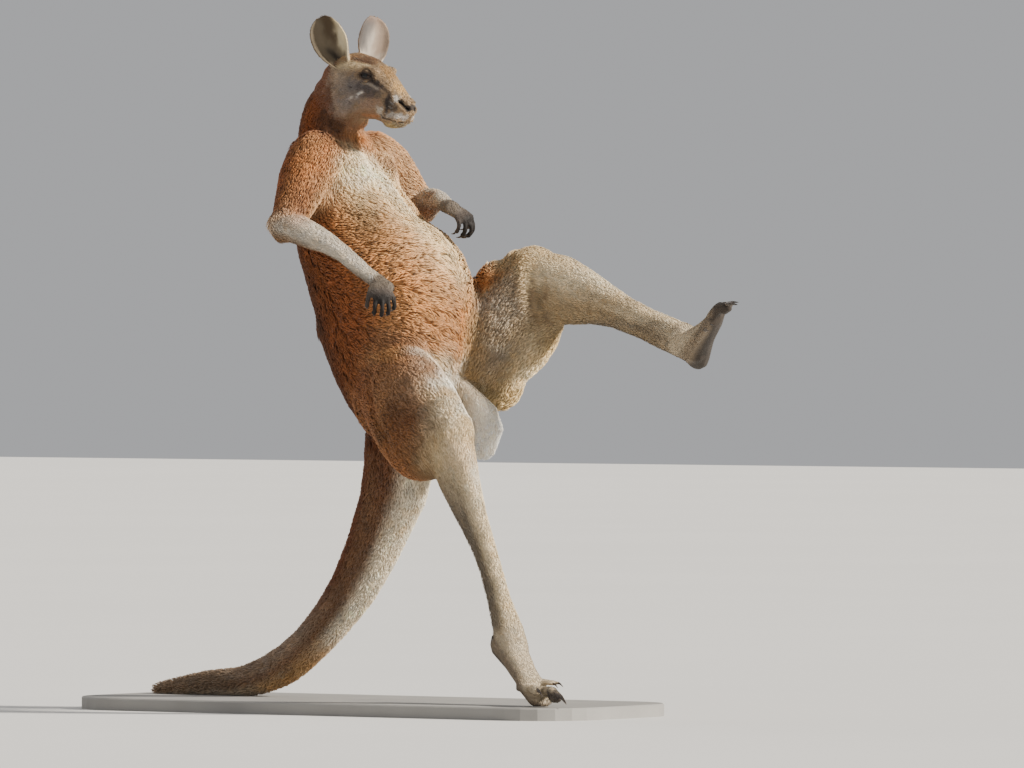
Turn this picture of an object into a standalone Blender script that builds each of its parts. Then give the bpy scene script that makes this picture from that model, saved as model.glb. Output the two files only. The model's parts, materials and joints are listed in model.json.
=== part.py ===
"""A male red kangaroo, life size, reared back on one foot and its tail with the other foot kicked out.

The animal faces +X, its left side is +Y and up is +Z, all in metres. Flesh is built as lofts along
the bones, fused into one body, smoothed at the joints and then parted into named solids.
"""

import math

import bmesh
import bpy
import numpy as np
from mathutils import Matrix, Vector

# ---- Driving sizes and places ----------------------------------------------------------------

GAP = 0.0003  # clear space between neighbouring solids
VOXEL = 0.0045  # grain of the fused body before it is thinned out
BODY_TRIANGLES = 2300

BASE_THICKNESS = 0.030
BASE_ENDS = (-0.8705, 0.6180)  # how far the base reaches behind the tail and ahead of the standing foot
BASE_SIDES = (-0.3254, 0.2200)  # how far it reaches to the animal's right and, under the kicking leg, left

# Joints, from the point on the floor below the middle of the pelvis.
JOINTS = {
    "hip_R": Vector((-0.010, -0.112, 0.752)),
    "knee_R": Vector((0.230, -0.222, 0.657)),
    "ankle_R": Vector((0.350, -0.142, 0.150)),
    "hip_L": Vector((0.036, 0.108, 0.786)),
    "knee_L": Vector((0.184, 0.162, 1.025)),
    "ankle_L": Vector((0.673, 0.133, 0.861)),
    "shoulder_R": Vector((-0.250, -0.135, 1.275)),
    "elbow_R": Vector((-0.233, -0.250, 1.135)),
    "wrist_R": Vector((0.048, -0.262, 1.000)),
    "shoulder_L": Vector((-0.227, 0.117, 1.288)),
    "elbow_L": Vector((-0.199, 0.263, 1.183)),
    "wrist_L": Vector((0.030, 0.058, 1.180)),
}

# Rows down the back: x, y, z, half the width, half the depth.
TRUNK = [
    (-0.020, 0, 0.620, 0.060, 0.070),
    (-0.030, 0, 0.675, 0.105, 0.112),
    (-0.058, 0, 0.755, 0.135, 0.155),
    (-0.078, 0, 0.863, 0.150, 0.194),
    (-0.097, 0, 0.960, 0.160, 0.209),
    (-0.172, 0, 1.070, 0.160, 0.163),
    (-0.228, 0, 1.180, 0.148, 0.132),
    (-0.264, 0, 1.280, 0.118, 0.103),
    (-0.280, 0, 1.345, 0.080, 0.082),
]
NECK = [
    (-0.256, 0, 1.270, 0.095, 0.098),
    (-0.280, 0, 1.340, 0.082, 0.084),
    (-0.282, 0, 1.395, 0.068, 0.073),
    (-0.260, 0, 1.445, 0.060, 0.066),
    (-0.235, 0, 1.480, 0.050, 0.055),
]
TAIL = [
    (-0.055, 0, 0.720, 0.085, 0.105),
    (-0.066, 0, 0.647, 0.084, 0.098),
    (-0.080, 0, 0.560, 0.076, 0.090),
    (-0.094, 0, 0.500, 0.070, 0.086),
    (-0.120, 0, 0.440, 0.063, 0.078),
    (-0.170, 0, 0.338, 0.055, 0.069),
    (-0.220, 0, 0.258, 0.050, 0.061),
    (-0.279, 0, 0.190, 0.046, 0.054),
    (-0.336, 0, 0.135, 0.043, 0.050),
    (-0.412, 0, 0.079, 0.041, 0.049),
    (-0.521, 0, 0.038, 0.037, 0.041),
    (-0.671, 0, 0.026, 0.029, 0.031),
    (-0.800, 0, 0.011, 0.017, 0.017),
]

# Rows down a limb: how far from one joint to the next, how far ahead of the bone the flesh lies,
# half the width, half the depth.
THIGH = [
    (-0.15, -0.006, 0.070, 0.105),
    (0.10, -0.010, 0.084, 0.128),
    (0.35, -0.026, 0.088, 0.136),
    (0.60, -0.038, 0.080, 0.134),
    (0.85, -0.038, 0.066, 0.114),
    (1.05, -0.020, 0.052, 0.074),
]
SHANK = [
    (-0.05, -0.008, 0.048, 0.060),
    (0.08, -0.018, 0.050, 0.086),
    (0.20, -0.012, 0.042, 0.090),
    (0.34, 0.000, 0.034, 0.071),
    (0.50, 0.004, 0.027, 0.050),
    (0.66, 0.001, 0.024, 0.041),
    (0.82, -0.001, 0.026, 0.041),
    (0.94, -0.002, 0.036, 0.042),
    (1.04, -0.004, 0.037, 0.042),
]
UPPER_ARM = [
    (-0.15, 0.000, 0.056, 0.070),
    (0.15, 0.002, 0.056, 0.072),
    (0.45, 0.002, 0.050, 0.061),
    (0.75, 0.000, 0.042, 0.049),
    (1.03, 0.000, 0.035, 0.038),
]
FOREARM = [
    (-0.06, 0.000, 0.033, 0.035),
    (0.12, 0.010, 0.036, 0.037),
    (0.35, 0.019, 0.030, 0.029),
    (0.60, 0.018, 0.023, 0.022),
    (0.85, 0.006, 0.021, 0.019),
    (1.10, 0.000, 0.021, 0.017),
]

# Head, in its own axes from the middle of the skull: ahead, top, underside, half the width.
HEAD_AT = Vector((-0.225, 0.000, 1.469))
HEAD_TURN = math.radians(-7)
HEAD = [
    (-0.068, 0.034, -0.020, 0.030),
    (-0.050, 0.060, -0.045, 0.046),
    (-0.025, 0.075, -0.060, 0.053),
    (0.000, 0.084, -0.068, 0.055),
    (0.030, 0.086, -0.072, 0.054),
    (0.060, 0.079, -0.073, 0.051),
    (0.090, 0.068, -0.076, 0.046),
    (0.115, 0.054, -0.084, 0.040),
    (0.140, 0.031, -0.092, 0.036),
    (0.160, 0.007, -0.092, 0.034),
    (0.178, -0.012, -0.088, 0.030),
    (0.191, -0.027, -0.081, 0.024),
    (0.200, -0.039, -0.071, 0.015),
]
EYE_RADIUS = 0.0165
EYE_AT = Vector((0.089, 0.0345, 0.029))
EAR_LENGTH = 0.138
EAR_HALF_WIDTH = 0.049
EAR_WALL = 0.0035
# Each ear's root, the way it points and the way it opens, in the head's axes.
EARS = {
    "ear_R": (Vector((0.009, -0.036, 0.060)), Vector((-0.43, -0.20, 0.90)), Vector((0.45, -0.89, 0))),
    "ear_L": (Vector((0.010, 0.045, 0.053)), Vector((0.00, 0.26, 0.97)), Vector((0.96, -0.28, 0))),
}

FOOT = [
    (-0.052, -0.044, 0.020, 0.020),
    (-0.034, -0.032, 0.031, 0.037),
    (-0.004, -0.018, 0.037, 0.044),
    (0.050, -0.018, 0.034, 0.034),
    (0.105, -0.020, 0.032, 0.027),
    (0.155, -0.021, 0.035, 0.022),
    (0.190, -0.021, 0.032, 0.017),
]
# Each toe: root ahead, root outward, length, splay in degrees, half its thickness, claw length.
TOES = {
    "fourth": (0.172, 0.002, 0.118, 1, 0.0155, 0.034),
    "fifth": (0.152, 0.025, 0.088, 7, 0.0110, 0.026),
    "third": (0.130, -0.021, 0.074, -3, 0.0072, 0.016),
    "second": (0.128, -0.033, 0.070, -7, 0.0070, 0.016),
}
TOES_BEND_R = math.radians(37)
TOES_BEND_L = math.radians(-4)
BOW_R = -0.014  # how far the standing shank's calf swings outward

HAND_LENGTH = 0.047
FINGERS = ("thumb", "second", "middle", "fourth", "little")
FINGER_JOINT = 0.0235
FINGER_RADIUS = 0.0068
FINGER_CLAW = 0.020

COLOURS = {
    "rust": ((0.36, 0.16, 0.07), 0.85),
    "tan": ((0.50, 0.33, 0.20), 0.85),
    "pale": ((0.62, 0.52, 0.42), 0.85),
    "grey": ((0.24, 0.20, 0.17), 0.80),
    "dark": ((0.035, 0.030, 0.028), 0.50),
    "eye": ((0.012, 0.008, 0.006), 0.10),
    "base": ((0.30, 0.29, 0.27), 0.60),
}


# ---- Scene, meshes and materials -------------------------------------------------------------


def fresh_scene():
    for old in list(bpy.data.objects):
        bpy.data.objects.remove(old)
    parts = bpy.data.collections.new("red_kangaroo")
    bpy.context.scene.collection.children.link(parts)
    return parts


PARTS = fresh_scene()


def material(name):
    found = bpy.data.materials.get(name)
    if found:
        return found
    colour, roughness = COLOURS[name]
    made = bpy.data.materials.new(name)
    made.use_nodes = True
    shader = made.node_tree.nodes["Principled BSDF"]
    shader.inputs["Base Color"].default_value = (*colour, 1)
    shader.inputs["Roughness"].default_value = roughness
    shader.inputs["Metallic"].default_value = 0
    return made


def solid(name, points, faces):
    mesh = bpy.data.meshes.new(name)
    mesh.from_pydata([tuple(p) for p in points], [], [tuple(f) for f in faces])
    made = bpy.data.objects.new(name, mesh)
    PARTS.objects.link(made)
    return made


def paint(thing, colour):
    thing.data.materials.clear()
    thing.data.materials.append(material(colour))
    return thing


def settle(thing):
    """Bakes a solid's modifiers into its mesh."""
    graph = bpy.context.evaluated_depsgraph_get()
    mesh = bpy.data.meshes.new_from_object(thing.evaluated_get(graph))
    thing.modifiers.clear()
    thing.data = mesh
    return thing


def joined(name, pieces):
    points = []
    faces = []
    for piece in pieces:
        first = len(points)
        points += [v.co.copy() for v in piece.data.vertices]
        faces += [[first + v for v in face.vertices] for face in piece.data.polygons]
        bpy.data.objects.remove(piece)
    return solid(name, points, faces)


def boolean(thing, tool, operation, keep=False):
    cut = thing.modifiers.new("cut", "BOOLEAN")
    cut.operation = operation
    cut.solver = "EXACT"
    cut.object = tool
    settle(thing)
    if not keep:
        bpy.data.objects.remove(tool)
    return thing


def copy_of(thing, name):
    made = bpy.data.objects.new(name, thing.data.copy())
    PARTS.objects.link(made)
    return made


def swollen(thing, by):
    """A copy pushed out along its normals, to cut a neighbour clear of it."""
    made = copy_of(thing, "swollen")
    normals = [v.normal.copy() for v in made.data.vertices]
    for vertex, normal in zip(made.data.vertices, normals):
        vertex.co += normal * by
    return made


# ---- Lofts -----------------------------------------------------------------------------------


def resample(rows, count):
    """Rows read off a smooth curve through the given rows, evenly along it."""
    rows = np.asarray(rows, float)
    steps = np.linalg.norm(np.diff(rows[:, :3], axis=0), axis=1)
    at = np.concatenate([[0], np.cumsum(np.maximum(steps, 1e-6))])
    slope = np.gradient(rows, at, axis=0)
    wanted = np.linspace(0, at[-1], count)
    index = np.clip(np.searchsorted(at, wanted, side="right") - 1, 0, len(at) - 2)
    span = (at[index + 1] - at[index])[:, None]
    t = ((wanted - at[index])[:, None]) / span
    low, high = rows[index], rows[index + 1]
    m0, m1 = slope[index] * span, slope[index + 1] * span
    return (
        (2 * t**3 - 3 * t**2 + 1) * low
        + (t**3 - 2 * t**2 + t) * m0
        + (3 * t**2 - 2 * t**3) * high
        + (t**3 - t**2) * m1
    )


def loft(name, rows, side, sides=20, count=16, axis=None, egg=0.0, power=2.0, round_ends=(1, 1)):
    """A closed solid through oval rings: rows of x, y, z, half the width, half the depth.

    side is the way the width runs, axis fixes the rings' facing, and egg narrows the front.
    round_ends bulges the first and last end by that share of their mean radius.
    """
    rows = resample(rows, count)
    centres = rows[:, :3]
    tangents = np.gradient(centres, axis=0) if axis is None else np.tile(np.array(axis), (count, 1))
    rings = []

    def ring(centre, tangent, across, deep):
        along = Vector(tangent).normalized()
        front = along.cross(Vector(side)).normalized()
        wide = front.cross(along).normalized()
        made = []
        for k in range(sides):
            angle = math.tau * k / sides
            c, s = math.cos(angle), math.sin(angle)
            c = math.copysign(abs(c) ** (2 / power), c)
            s = math.copysign(abs(s) ** (2 / power), s)
            made.append(Vector(centre) + wide * across * c * (1 - egg * s) + front * deep * s)
        return made

    def cap(row, tangent, way, bulge):
        reach = bulge * (row[3] + row[4]) / 2
        out = Vector(tangent).normalized() * way
        for turn in (72, 50, 25):
            turn = math.radians(turn)
            centre = Vector(row[:3]) + out * reach * math.sin(turn)
            yield ring(centre, tangent, row[3] * math.cos(turn), row[4] * math.cos(turn))

    if round_ends[0]:
        rings += list(cap(rows[0], tangents[0], -1, round_ends[0]))
    rings += [ring(row[:3], tangent, row[3], row[4]) for row, tangent in zip(rows, tangents)]
    if round_ends[1]:
        rings += list(cap(rows[-1], tangents[-1], 1, round_ends[1]))[::-1]

    points = [point for made in rings for point in made]
    faces = []
    for r in range(len(rings) - 1):
        for k in range(sides):
            a, b = r * sides + k, r * sides + (k + 1) % sides
            faces.append((a, b, b + sides, a + sides))
    faces.append(tuple(reversed(range(sides))))
    faces.append(tuple(range(len(points) - sides, len(points))))
    made = solid(name, points, faces)
    return outward(made)


def outward(thing):
    mesh = bmesh.new()
    mesh.from_mesh(thing.data)
    bmesh.ops.recalc_face_normals(mesh, faces=mesh.faces)
    if mesh.calc_volume(signed=True) < 0:
        bmesh.ops.reverse_faces(mesh, faces=mesh.faces)
    mesh.to_mesh(thing.data)
    mesh.free()
    return thing


def limb(name, start, end, front, rows, grow=0.0, bow=0.0, **settings):
    """A loft along a bone. bow swings the upper half of it sideways."""
    bone = end - start
    ahead = (front - front.project(bone)).normalized()
    side = front.cross(bone).normalized()
    made = []
    for along, offset, across, deep in rows:
        swing = bow * math.sin(math.pi * min(max(along, 0) / 0.6, 1))
        centre = start + bone * along + ahead * offset + side * swing
        made.append((*centre, across + grow, deep + grow))
    return loft(name, made, side, axis=bone, **settings)


def ball(name, centre, radii, forward=Vector((1, 0, 0)), up=Vector((0, 0, 1)), segments=16):
    mesh = bmesh.new()
    bmesh.ops.create_uvsphere(mesh, u_segments=segments, v_segments=segments // 2 + 1, radius=1)
    x = forward.normalized()
    y = up.cross(x).normalized()
    z = x.cross(y)
    turn = Matrix((x, y, z)).transposed().to_4x4()
    bmesh.ops.transform(mesh, verts=mesh.verts, matrix=turn @ Matrix.Diagonal((*radii, 1)))
    bmesh.ops.translate(mesh, verts=mesh.verts, vec=centre)
    made = solid(name, [], [])
    mesh.to_mesh(made.data)
    mesh.free()
    return made


def fused(name, pieces, voxel, rounds, triangles, softer=()):
    """One smooth body from overlapping solids. softer lists places (centre, radius) to smooth more."""
    body = joined(name, pieces)
    grain = body.modifiers.new("grain", "REMESH")
    grain.mode = "VOXEL"
    grain.voxel_size = voxel
    settle(body)
    points = np.empty(len(body.data.vertices) * 3)
    body.data.vertices.foreach_get("co", points)
    points = points.reshape(-1, 3)
    weight = np.zeros(len(points))
    for centre, radius in softer:
        away = np.linalg.norm(points - np.array(centre), axis=1) / radius
        weight = np.maximum(weight, np.clip(1.6 - 1.6 * away, 0, 1))
    mark = body.vertex_groups.new(name="softer")
    for index in np.nonzero(weight > 0)[0]:
        mark.add([int(index)], float(weight[index]), "REPLACE")
    ease = body.modifiers.new("ease", "SMOOTH")
    ease.factor = 0.5
    ease.iterations = rounds
    if softer:
        blend = body.modifiers.new("blend", "SMOOTH")
        blend.factor = 0.5
        blend.iterations = 6 * rounds
        blend.vertex_group = "softer"
    thin = body.modifiers.new("thin", "DECIMATE")
    thin.ratio = triangles / (2 * len(body.data.polygons))
    thin.use_collapse_triangulate = True
    settle(body)
    body.vertex_groups.clear()
    return outward(body)


# ---- Parting ---------------------------------------------------------------------------------


def islands(thing):
    """Splits a solid into its loose bodies."""
    mesh = bmesh.new()
    mesh.from_mesh(thing.data)
    mesh.faces.ensure_lookup_table()
    seen = set()
    found = []
    for face in mesh.faces:
        if face.index in seen:
            continue
        seen.add(face.index)
        queue = [face]
        for here in queue:
            for edge in here.edges:
                for other in edge.link_faces:
                    if other.index not in seen:
                        seen.add(other.index)
                        queue.append(other)
        found.append(queue)
    pieces = []
    for faces in found:
        points = []
        index = {}
        rows = []
        for face in faces:
            for vert in face.verts:
                if vert.index not in index:
                    index[vert.index] = len(points)
                    points.append(vert.co.copy())
            rows.append([index[vert.index] for vert in face.verts])
        pieces.append(solid("island", points, rows))
    mesh.free()
    bpy.data.objects.remove(thing)
    return pieces


def halved(thing, centre, facing, keep_front):
    """Cuts a solid at a plane, closes it and keeps one side, clear of the plane by half the gap."""
    way = facing.normalized() * (1 if keep_front else -1)
    mesh = bmesh.new()
    mesh.from_mesh(thing.data)
    everything = mesh.verts[:] + mesh.edges[:] + mesh.faces[:]
    cut = bmesh.ops.bisect_plane(
        mesh, geom=everything, plane_co=centre + way * GAP / 2, plane_no=way, clear_inner=True
    )
    rim = [edge for edge in cut["geom_cut"] if isinstance(edge, bmesh.types.BMEdge)]
    bmesh.ops.contextual_create(mesh, geom=rim)
    bmesh.ops.triangulate(mesh, faces=[f for f in mesh.faces if len(f.verts) > 4])
    mesh.to_mesh(thing.data)
    mesh.free()
    return outward(thing)


def middle(first, second, share=0.5):
    return JOINTS[first].lerp(JOINTS[second], share)


# ---- Body ------------------------------------------------------------------------------------

FORWARD, LEFT, UP = Vector((1, 0, 0)), Vector((0, 1, 0)), Vector((0, 0, 1))
FRONTS = {
    "thigh_R": Vector((0.30, 0.0, 1.0)),
    "shank_R": Vector((0.86, -0.51, 0.0)),
    "thigh_L": Vector((-0.85, 0.0, 0.55)),
    "shank_L": Vector((0.33, 0.0, 0.94)),
    "upper_arm_R": Vector((1.0, 0.0, 0.1)),
    "forearm_R": Vector((0.4, -0.2, 0.9)),
    "upper_arm_L": Vector((0.6, 0.2, 0.8)),
    "forearm_L": Vector((0.2, 0.3, 0.9)),
}
BONES = {
    "thigh": ("hip", "knee", THIGH),
    "shank": ("knee", "ankle", SHANK),
    "upper_arm": ("shoulder", "elbow", UPPER_ARM),
    "forearm": ("elbow", "wrist", FOREARM),
}


def bone(kind, side):
    first, second, rows = BONES[kind]
    return JOINTS[f"{first}_{side}"], JOINTS[f"{second}_{side}"], FRONTS[f"{kind}_{side}"], rows


def whole_body():
    pieces = [
        loft("trunk", TRUNK, LEFT, sides=32, count=24, power=2.15),
        loft("neck", NECK, LEFT, sides=24, count=12),
        loft("tail", TAIL, LEFT, sides=20, count=40),
    ]
    for side, out in (("R", -1), ("L", 1)):
        for kind in BONES:
            start, end, front, rows = bone(kind, side)
            bow = BOW_R if (kind, side) == ("shank", "R") else 0
            pieces.append(limb(kind, start, end, front, rows, bow=bow, sides=20, count=14))
        pieces.append(ball("breast", Vector((-0.207, 0.056 * out, 1.235)), (0.081, 0.072, 0.100)))
        pieces.append(ball("shoulder", Vector((-0.252, 0.10 * out, 1.285)), (0.075, 0.070, 0.085)))
        pieces.append(ball("buttock", Vector((-0.066, 0.085 * out, 0.73)), (0.080, 0.065, 0.105)))
    pieces.append(ball("throat", Vector((-0.235, 0, 1.375)), (0.056, 0.045, 0.050)))
    pieces.append(ball("quad", Vector((0.105, 0.148, 0.990)), (0.060, 0.055, 0.066)))
    pieces.append(ball("ham", Vector((0.125, 0.12, 0.770)), (0.075, 0.055, 0.080)))
    softer = [(JOINTS[f"{joint}_{side}"], 0.15) for joint in ("hip", "shoulder") for side in "RL"]
    softer += [(JOINTS[f"{joint}_{side}"], 0.09) for joint in ("knee",) for side in "RL"]
    softer += [(Vector(TRUNK[0][:3]), 0.16), (Vector(NECK[0][:3]), 0.15), (Vector(TRUNK[5][:3]), 0.22)]
    return fused("body", pieces, VOXEL, 5, BODY_TRIANGLES, softer)


# Planes that part the trunk and tail, from the head down: a point and the way towards the head.
PLANES = [
    ("head", Vector((-0.262, 0, 1.432)), Vector((0.70, 0, 0.71))),
    ("neck", Vector((-0.280, 0, 1.350)), Vector((0.21, 0, 0.98))),
    ("chest", Vector((-0.135, 0, 1.045)), Vector((-0.36, 0, 0.93))),
    ("belly", Vector((-0.075, 0, 0.600)), Vector((0.12, 0, 0.99))),
    ("tail_root", Vector((-0.151, 0, 0.385)), Vector((0.45, 0, 0.89))),
    ("tail_middle", Vector((-0.325, 0, 0.147)), Vector((0.70, 0, 0.71))),
    ("tail_bend", Vector((-0.560, 0, 0.030)), Vector((1, 0, 0))),
]
LAST_CUT = {"shank": 0.93, "forearm": 0.97}  # where foot and hand begin, along the bone
# Spare room round the flesh when it is lifted out, and what more it takes at the joint above.
ROOM = {"shank": (0.014, 0.060), "forearm": (0.010, 0.012), "thigh": (0.036, 0), "upper_arm": (0.024, 0)}
JOINTS_BETWEEN = {"shank": "thigh", "forearm": "upper_arm"}


def last_cut(kind, side):
    """The place and facing of the cut at the far end of a shank or forearm."""
    start, end, _, _ = bone(kind, side)
    return start.lerp(end, LAST_CUT[kind]), end - start


def bend_cut(kind, side):
    """The place and facing of the cut across the knee or elbow that begins this length."""
    start, joint, _, _ = bone(JOINTS_BETWEEN[kind], side)
    end = bone(kind, side)[1]
    return joint, (joint - start).normalized() + (end - joint).normalized()


def far_cell(kind, side, more):
    """The space that holds a shank or forearm, from its joint to past its end."""
    start, end, front, rows = bone(kind, side)
    room, flare = ROOM[kind]
    rows = [(-0.30, rows[0][1], rows[1][2] + flare, rows[1][3] + flare)] + [
        (along, ahead, across + flare * max(1 - along / 0.3, 0), deep + flare * max(1 - along / 0.3, 0))
        for along, ahead, across, deep in rows[1:]
    ]
    rows.append((1.25, *rows[-1][1:]))
    cell = limb("cell", start, end, front, rows, room + more, sides=12, count=9, round_ends=(0.1, 0.1))
    joint, facing = bend_cut(kind, side)
    return halved(cell, joint - facing.normalized() * more, facing, keep_front=True)


def near_cell(kind, side, more):
    """The space that holds a thigh or upper arm, rounded where it sinks into the trunk."""
    start, end, front, rows = bone(kind, side)
    room = ROOM[kind][0]
    aside = LEFT * (-1 if side == "R" else 1) * 0.6 * room
    rows = rows[:-1] + [(1.25, *rows[-1][1:3], rows[-2][3])]
    return limb(
        "cell", start + aside, end + aside, front, rows, room + more, sides=10, count=4, round_ends=(0.7, 0.3)
    )


def largest(thing):
    """The biggest of a solid's loose bodies, in its place and under its name."""
    name = thing.name
    pieces = sorted(islands(thing), key=lambda piece: len(piece.data.polygons))
    for piece in pieces[:-1]:
        bpy.data.objects.remove(piece)
    pieces[-1].name = name
    return pieces[-1]


def parted(body):
    """The body's named solids: each limb lifted out, then planes down the trunk and tail."""
    made = {}
    for cells, kinds in ((far_cell, ("shank", "forearm")), (near_cell, ("thigh", "upper_arm"))):
        for kind in kinds:
            for side in "RL":
                name = f"{kind}_{side}"
                piece = boolean(copy_of(body, name), cells(kind, side, 0), "INTERSECT")
                if kind in LAST_CUT:
                    halved(piece, *last_cut(kind, side), keep_front=False)
                made[name] = largest(piece)
                boolean(body, cells(kind, side, GAP), "DIFFERENCE")
    # The calf folds against the ham of the standing leg, so it is cut clear of it.
    made["thigh_R"] = largest(boolean(made["thigh_R"], swollen(made["shank_R"], GAP), "DIFFERENCE"))
    body = largest(body)
    for name, point, facing in PLANES:
        if name != "head":
            made[name] = largest(halved(copy_of(body, name), point, facing, keep_front=True))
        halved(body, point, facing, keep_front=False)
    body.name = "tail_tip"
    made["tail_tip"] = largest(body)
    return made


BODY = parted(whole_body())


# ---- Head ------------------------------------------------------------------------------------

HEAD_AXES = Matrix.Rotation(HEAD_TURN, 3, "Z")


def on_head(local):
    return HEAD_AT + HEAD_AXES @ Vector(local)


def head_solid():
    """The skull and muzzle with brows, cheeks, lips, chin and ear roots, cut off at the neck."""
    rows = [
        (*on_head((ahead, 0, (top + under) / 2)), wide, (top - under) / 2)
        for ahead, top, under, wide in HEAD
    ]
    forward, left = HEAD_AXES @ FORWARD, HEAD_AXES @ LEFT
    pieces = [
        loft("skull", rows, left, 28, 30, forward, egg=-0.10, power=2.2, round_ends=(0.5, 0.5)),
        loft("neck", NECK, LEFT, sides=24, count=12),
    ]
    lumps = [
        ((0.086, 0.031, 0.039), (0.038, 0.014, 0.012)),
        ((0.060, 0.038, 0.000), (0.045, 0.014, 0.018)),
        ((0.012, 0.035, -0.032), (0.052, 0.023, 0.040)),
        ((0.156, 0.021, -0.070), (0.034, 0.016, 0.020)),
        ((0.186, 0.015, -0.046), (0.017, 0.012, 0.018)),
        ((-0.010, 0.036, 0.044), (0.024, 0.018, 0.022)),
    ]
    for at, radii in lumps:
        for out in (-1, 1):
            centre = on_head((at[0], at[1] * out, at[2]))
            pieces.append(ball("lump", centre, radii, forward))
    pieces.append(ball("chin", on_head((0.150, 0, -0.086)), (0.036, 0.020, 0.012), forward))
    pieces.append(ball("throat", Vector((-0.226, 0, 1.397)), (0.051, 0.043, 0.036)))
    head = fused("head", pieces, 0.003, 9, 800)
    _, point, facing = PLANES[0]
    return halved(head, point, facing, keep_front=True)


def eye(name, out, head):
    """An eyeball in a socket of its own."""
    centre = on_head((EYE_AT.x, EYE_AT.y * out, EYE_AT.z))
    socket = ball("socket", centre, [EYE_RADIUS + GAP] * 3, segments=12)
    boolean(head, socket, "DIFFERENCE")
    return ball(name, centre, [EYE_RADIUS - GAP] * 3, segments=12)


def ear(name, head):
    """A cupped leaf with a tubular root, trimmed where it meets the head."""
    root, way, opening = EARS[name]
    root = on_head(root)
    way = (HEAD_AXES @ way).normalized()
    opening = HEAD_AXES @ opening
    opening = (opening - opening.project(way)).normalized()
    side = way.cross(opening)
    points = []
    rows, columns = 13, 8
    widest = 0.52
    for r in range(rows):
        t = math.sin(math.pi / 2 * r / (rows - 1))
        if t < widest:
            width = EAR_HALF_WIDTH * (0.76 + 0.24 * math.sin(math.pi / 2 * t / widest))
        else:
            width = EAR_HALF_WIDTH * math.sqrt(max(1 - ((t - widest) / (1.004 - widest)) ** 2.3, 0))
        wrap = math.radians(270 - 170 * min(t / 0.45, 1) ** 0.8)
        radius = 2 * width / wrap
        for c in range(columns):
            angle = wrap * (c / (columns - 1) - 0.5)
            point = root + way * EAR_LENGTH * (t - 0.10)
            point += opening * (radius * (1 - math.cos(angle)) - 0.012 * (1 - t) ** 2)
            points.append(point + side * radius * math.sin(angle))
    faces = []
    for r in range(rows - 1):
        for c in range(columns - 1):
            a = r * columns + c
            faces.append((a, a + 1, a + columns + 1, a + columns))
    made = solid(name, points, faces)
    wall = made.modifiers.new("wall", "SOLIDIFY")
    wall.thickness = EAR_WALL
    wall.offset = 0
    settle(made)
    outward(made)
    return largest(boolean(made, swollen(head, GAP), "DIFFERENCE"))


# ---- Hands and feet --------------------------------------------------------------------------


def claw(name, root, way, down, length, radius):
    """A tapering claw that curves down to a blunt point."""
    way = way.normalized()
    down = (down - down.project(way)).normalized()
    rows = []
    for k in range(5):
        t = k / 4
        bend = 0.9 * t
        centre = root + way * length * math.sin(bend) / 0.78 + down * length * (1 - math.cos(bend)) / 0.9
        rows.append((*centre, radius * (1 - 0.86 * t), radius * 1.15 * (1 - 0.86 * t)))
    return loft(name, rows, way.cross(down), sides=5, count=3, round_ends=(0, 0))


def turned(vector, axis, angle):
    return Matrix.Rotation(angle, 3, axis.normalized()) @ vector


def foot(side, toe_way, up, bend):
    """A long hind foot: heel, instep, the big fourth toe, the outer fifth and the small fused pair."""
    ankle = JOINTS[f"ankle_{side}"]
    way = toe_way.normalized()
    up = (up - up.project(way)).normalized()
    left = up.cross(way)
    out = left * (-1 if side == "R" else 1)

    def at(ahead, outward_by, rise):
        return ankle + way * ahead + out * outward_by + up * rise

    instep = [(*at(ahead, 0, rise), wide, deep) for ahead, rise, wide, deep in FOOT]
    pieces = [loft("instep", instep, left, sides=18, count=14, axis=way)]
    start, end, front, rows = bone("shank", side)
    pieces.append(limb("shank", start, end, front, rows, sides=20, count=14))
    claws = []
    toe_forward = turned(way, left, -bend)
    toe_up = turned(up, left, -bend)
    for toe, (ahead, offset, length, splay, thick, claw_length) in TOES.items():
        direction = turned(toe_forward, toe_up, math.radians(splay) * (1 if side == "L" else -1))
        root = at(ahead, offset, -0.020 + 0.3 * thick)
        ridge = 0.006 if toe == "fourth" else 0.002
        rows = [
            (*(root - direction * 0.03), thick * 1.05, thick),
            (*(root + direction * length * 0.35 + toe_up * ridge), thick, thick * 0.95),
            (*(root + direction * length * 0.72 + toe_up * ridge), thick * 0.92, thick * 0.85),
            (*(root + direction * (length - thick)), thick * 0.82, thick * 0.72),
        ]
        pieces.append(loft("toe", rows, left, sides=12, count=8, axis=direction))
        if toe in ("fourth", "fifth"):
            for share, size in ((0.12, 1.15), (0.80, 1.0)):
                centre = root + direction * length * share - toe_up * thick * 0.45
                radii = (thick * 1.5 * size, thick * 0.95 * size, thick * 0.75)
                pieces.append(ball("pad", centre, radii, direction, toe_up))
        tip = root + direction * (length - thick * 1.0) + toe_up * thick * 0.15
        claws.append((f"toe_claw_{toe}_{side}", tip, direction, -toe_up, claw_length + thick, thick * 0.52))
    made = fused(f"foot_{side}", pieces, 0.0028, 3, 520)
    halved(made, *last_cut("shank", side), keep_front=True)
    return made, claws


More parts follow.
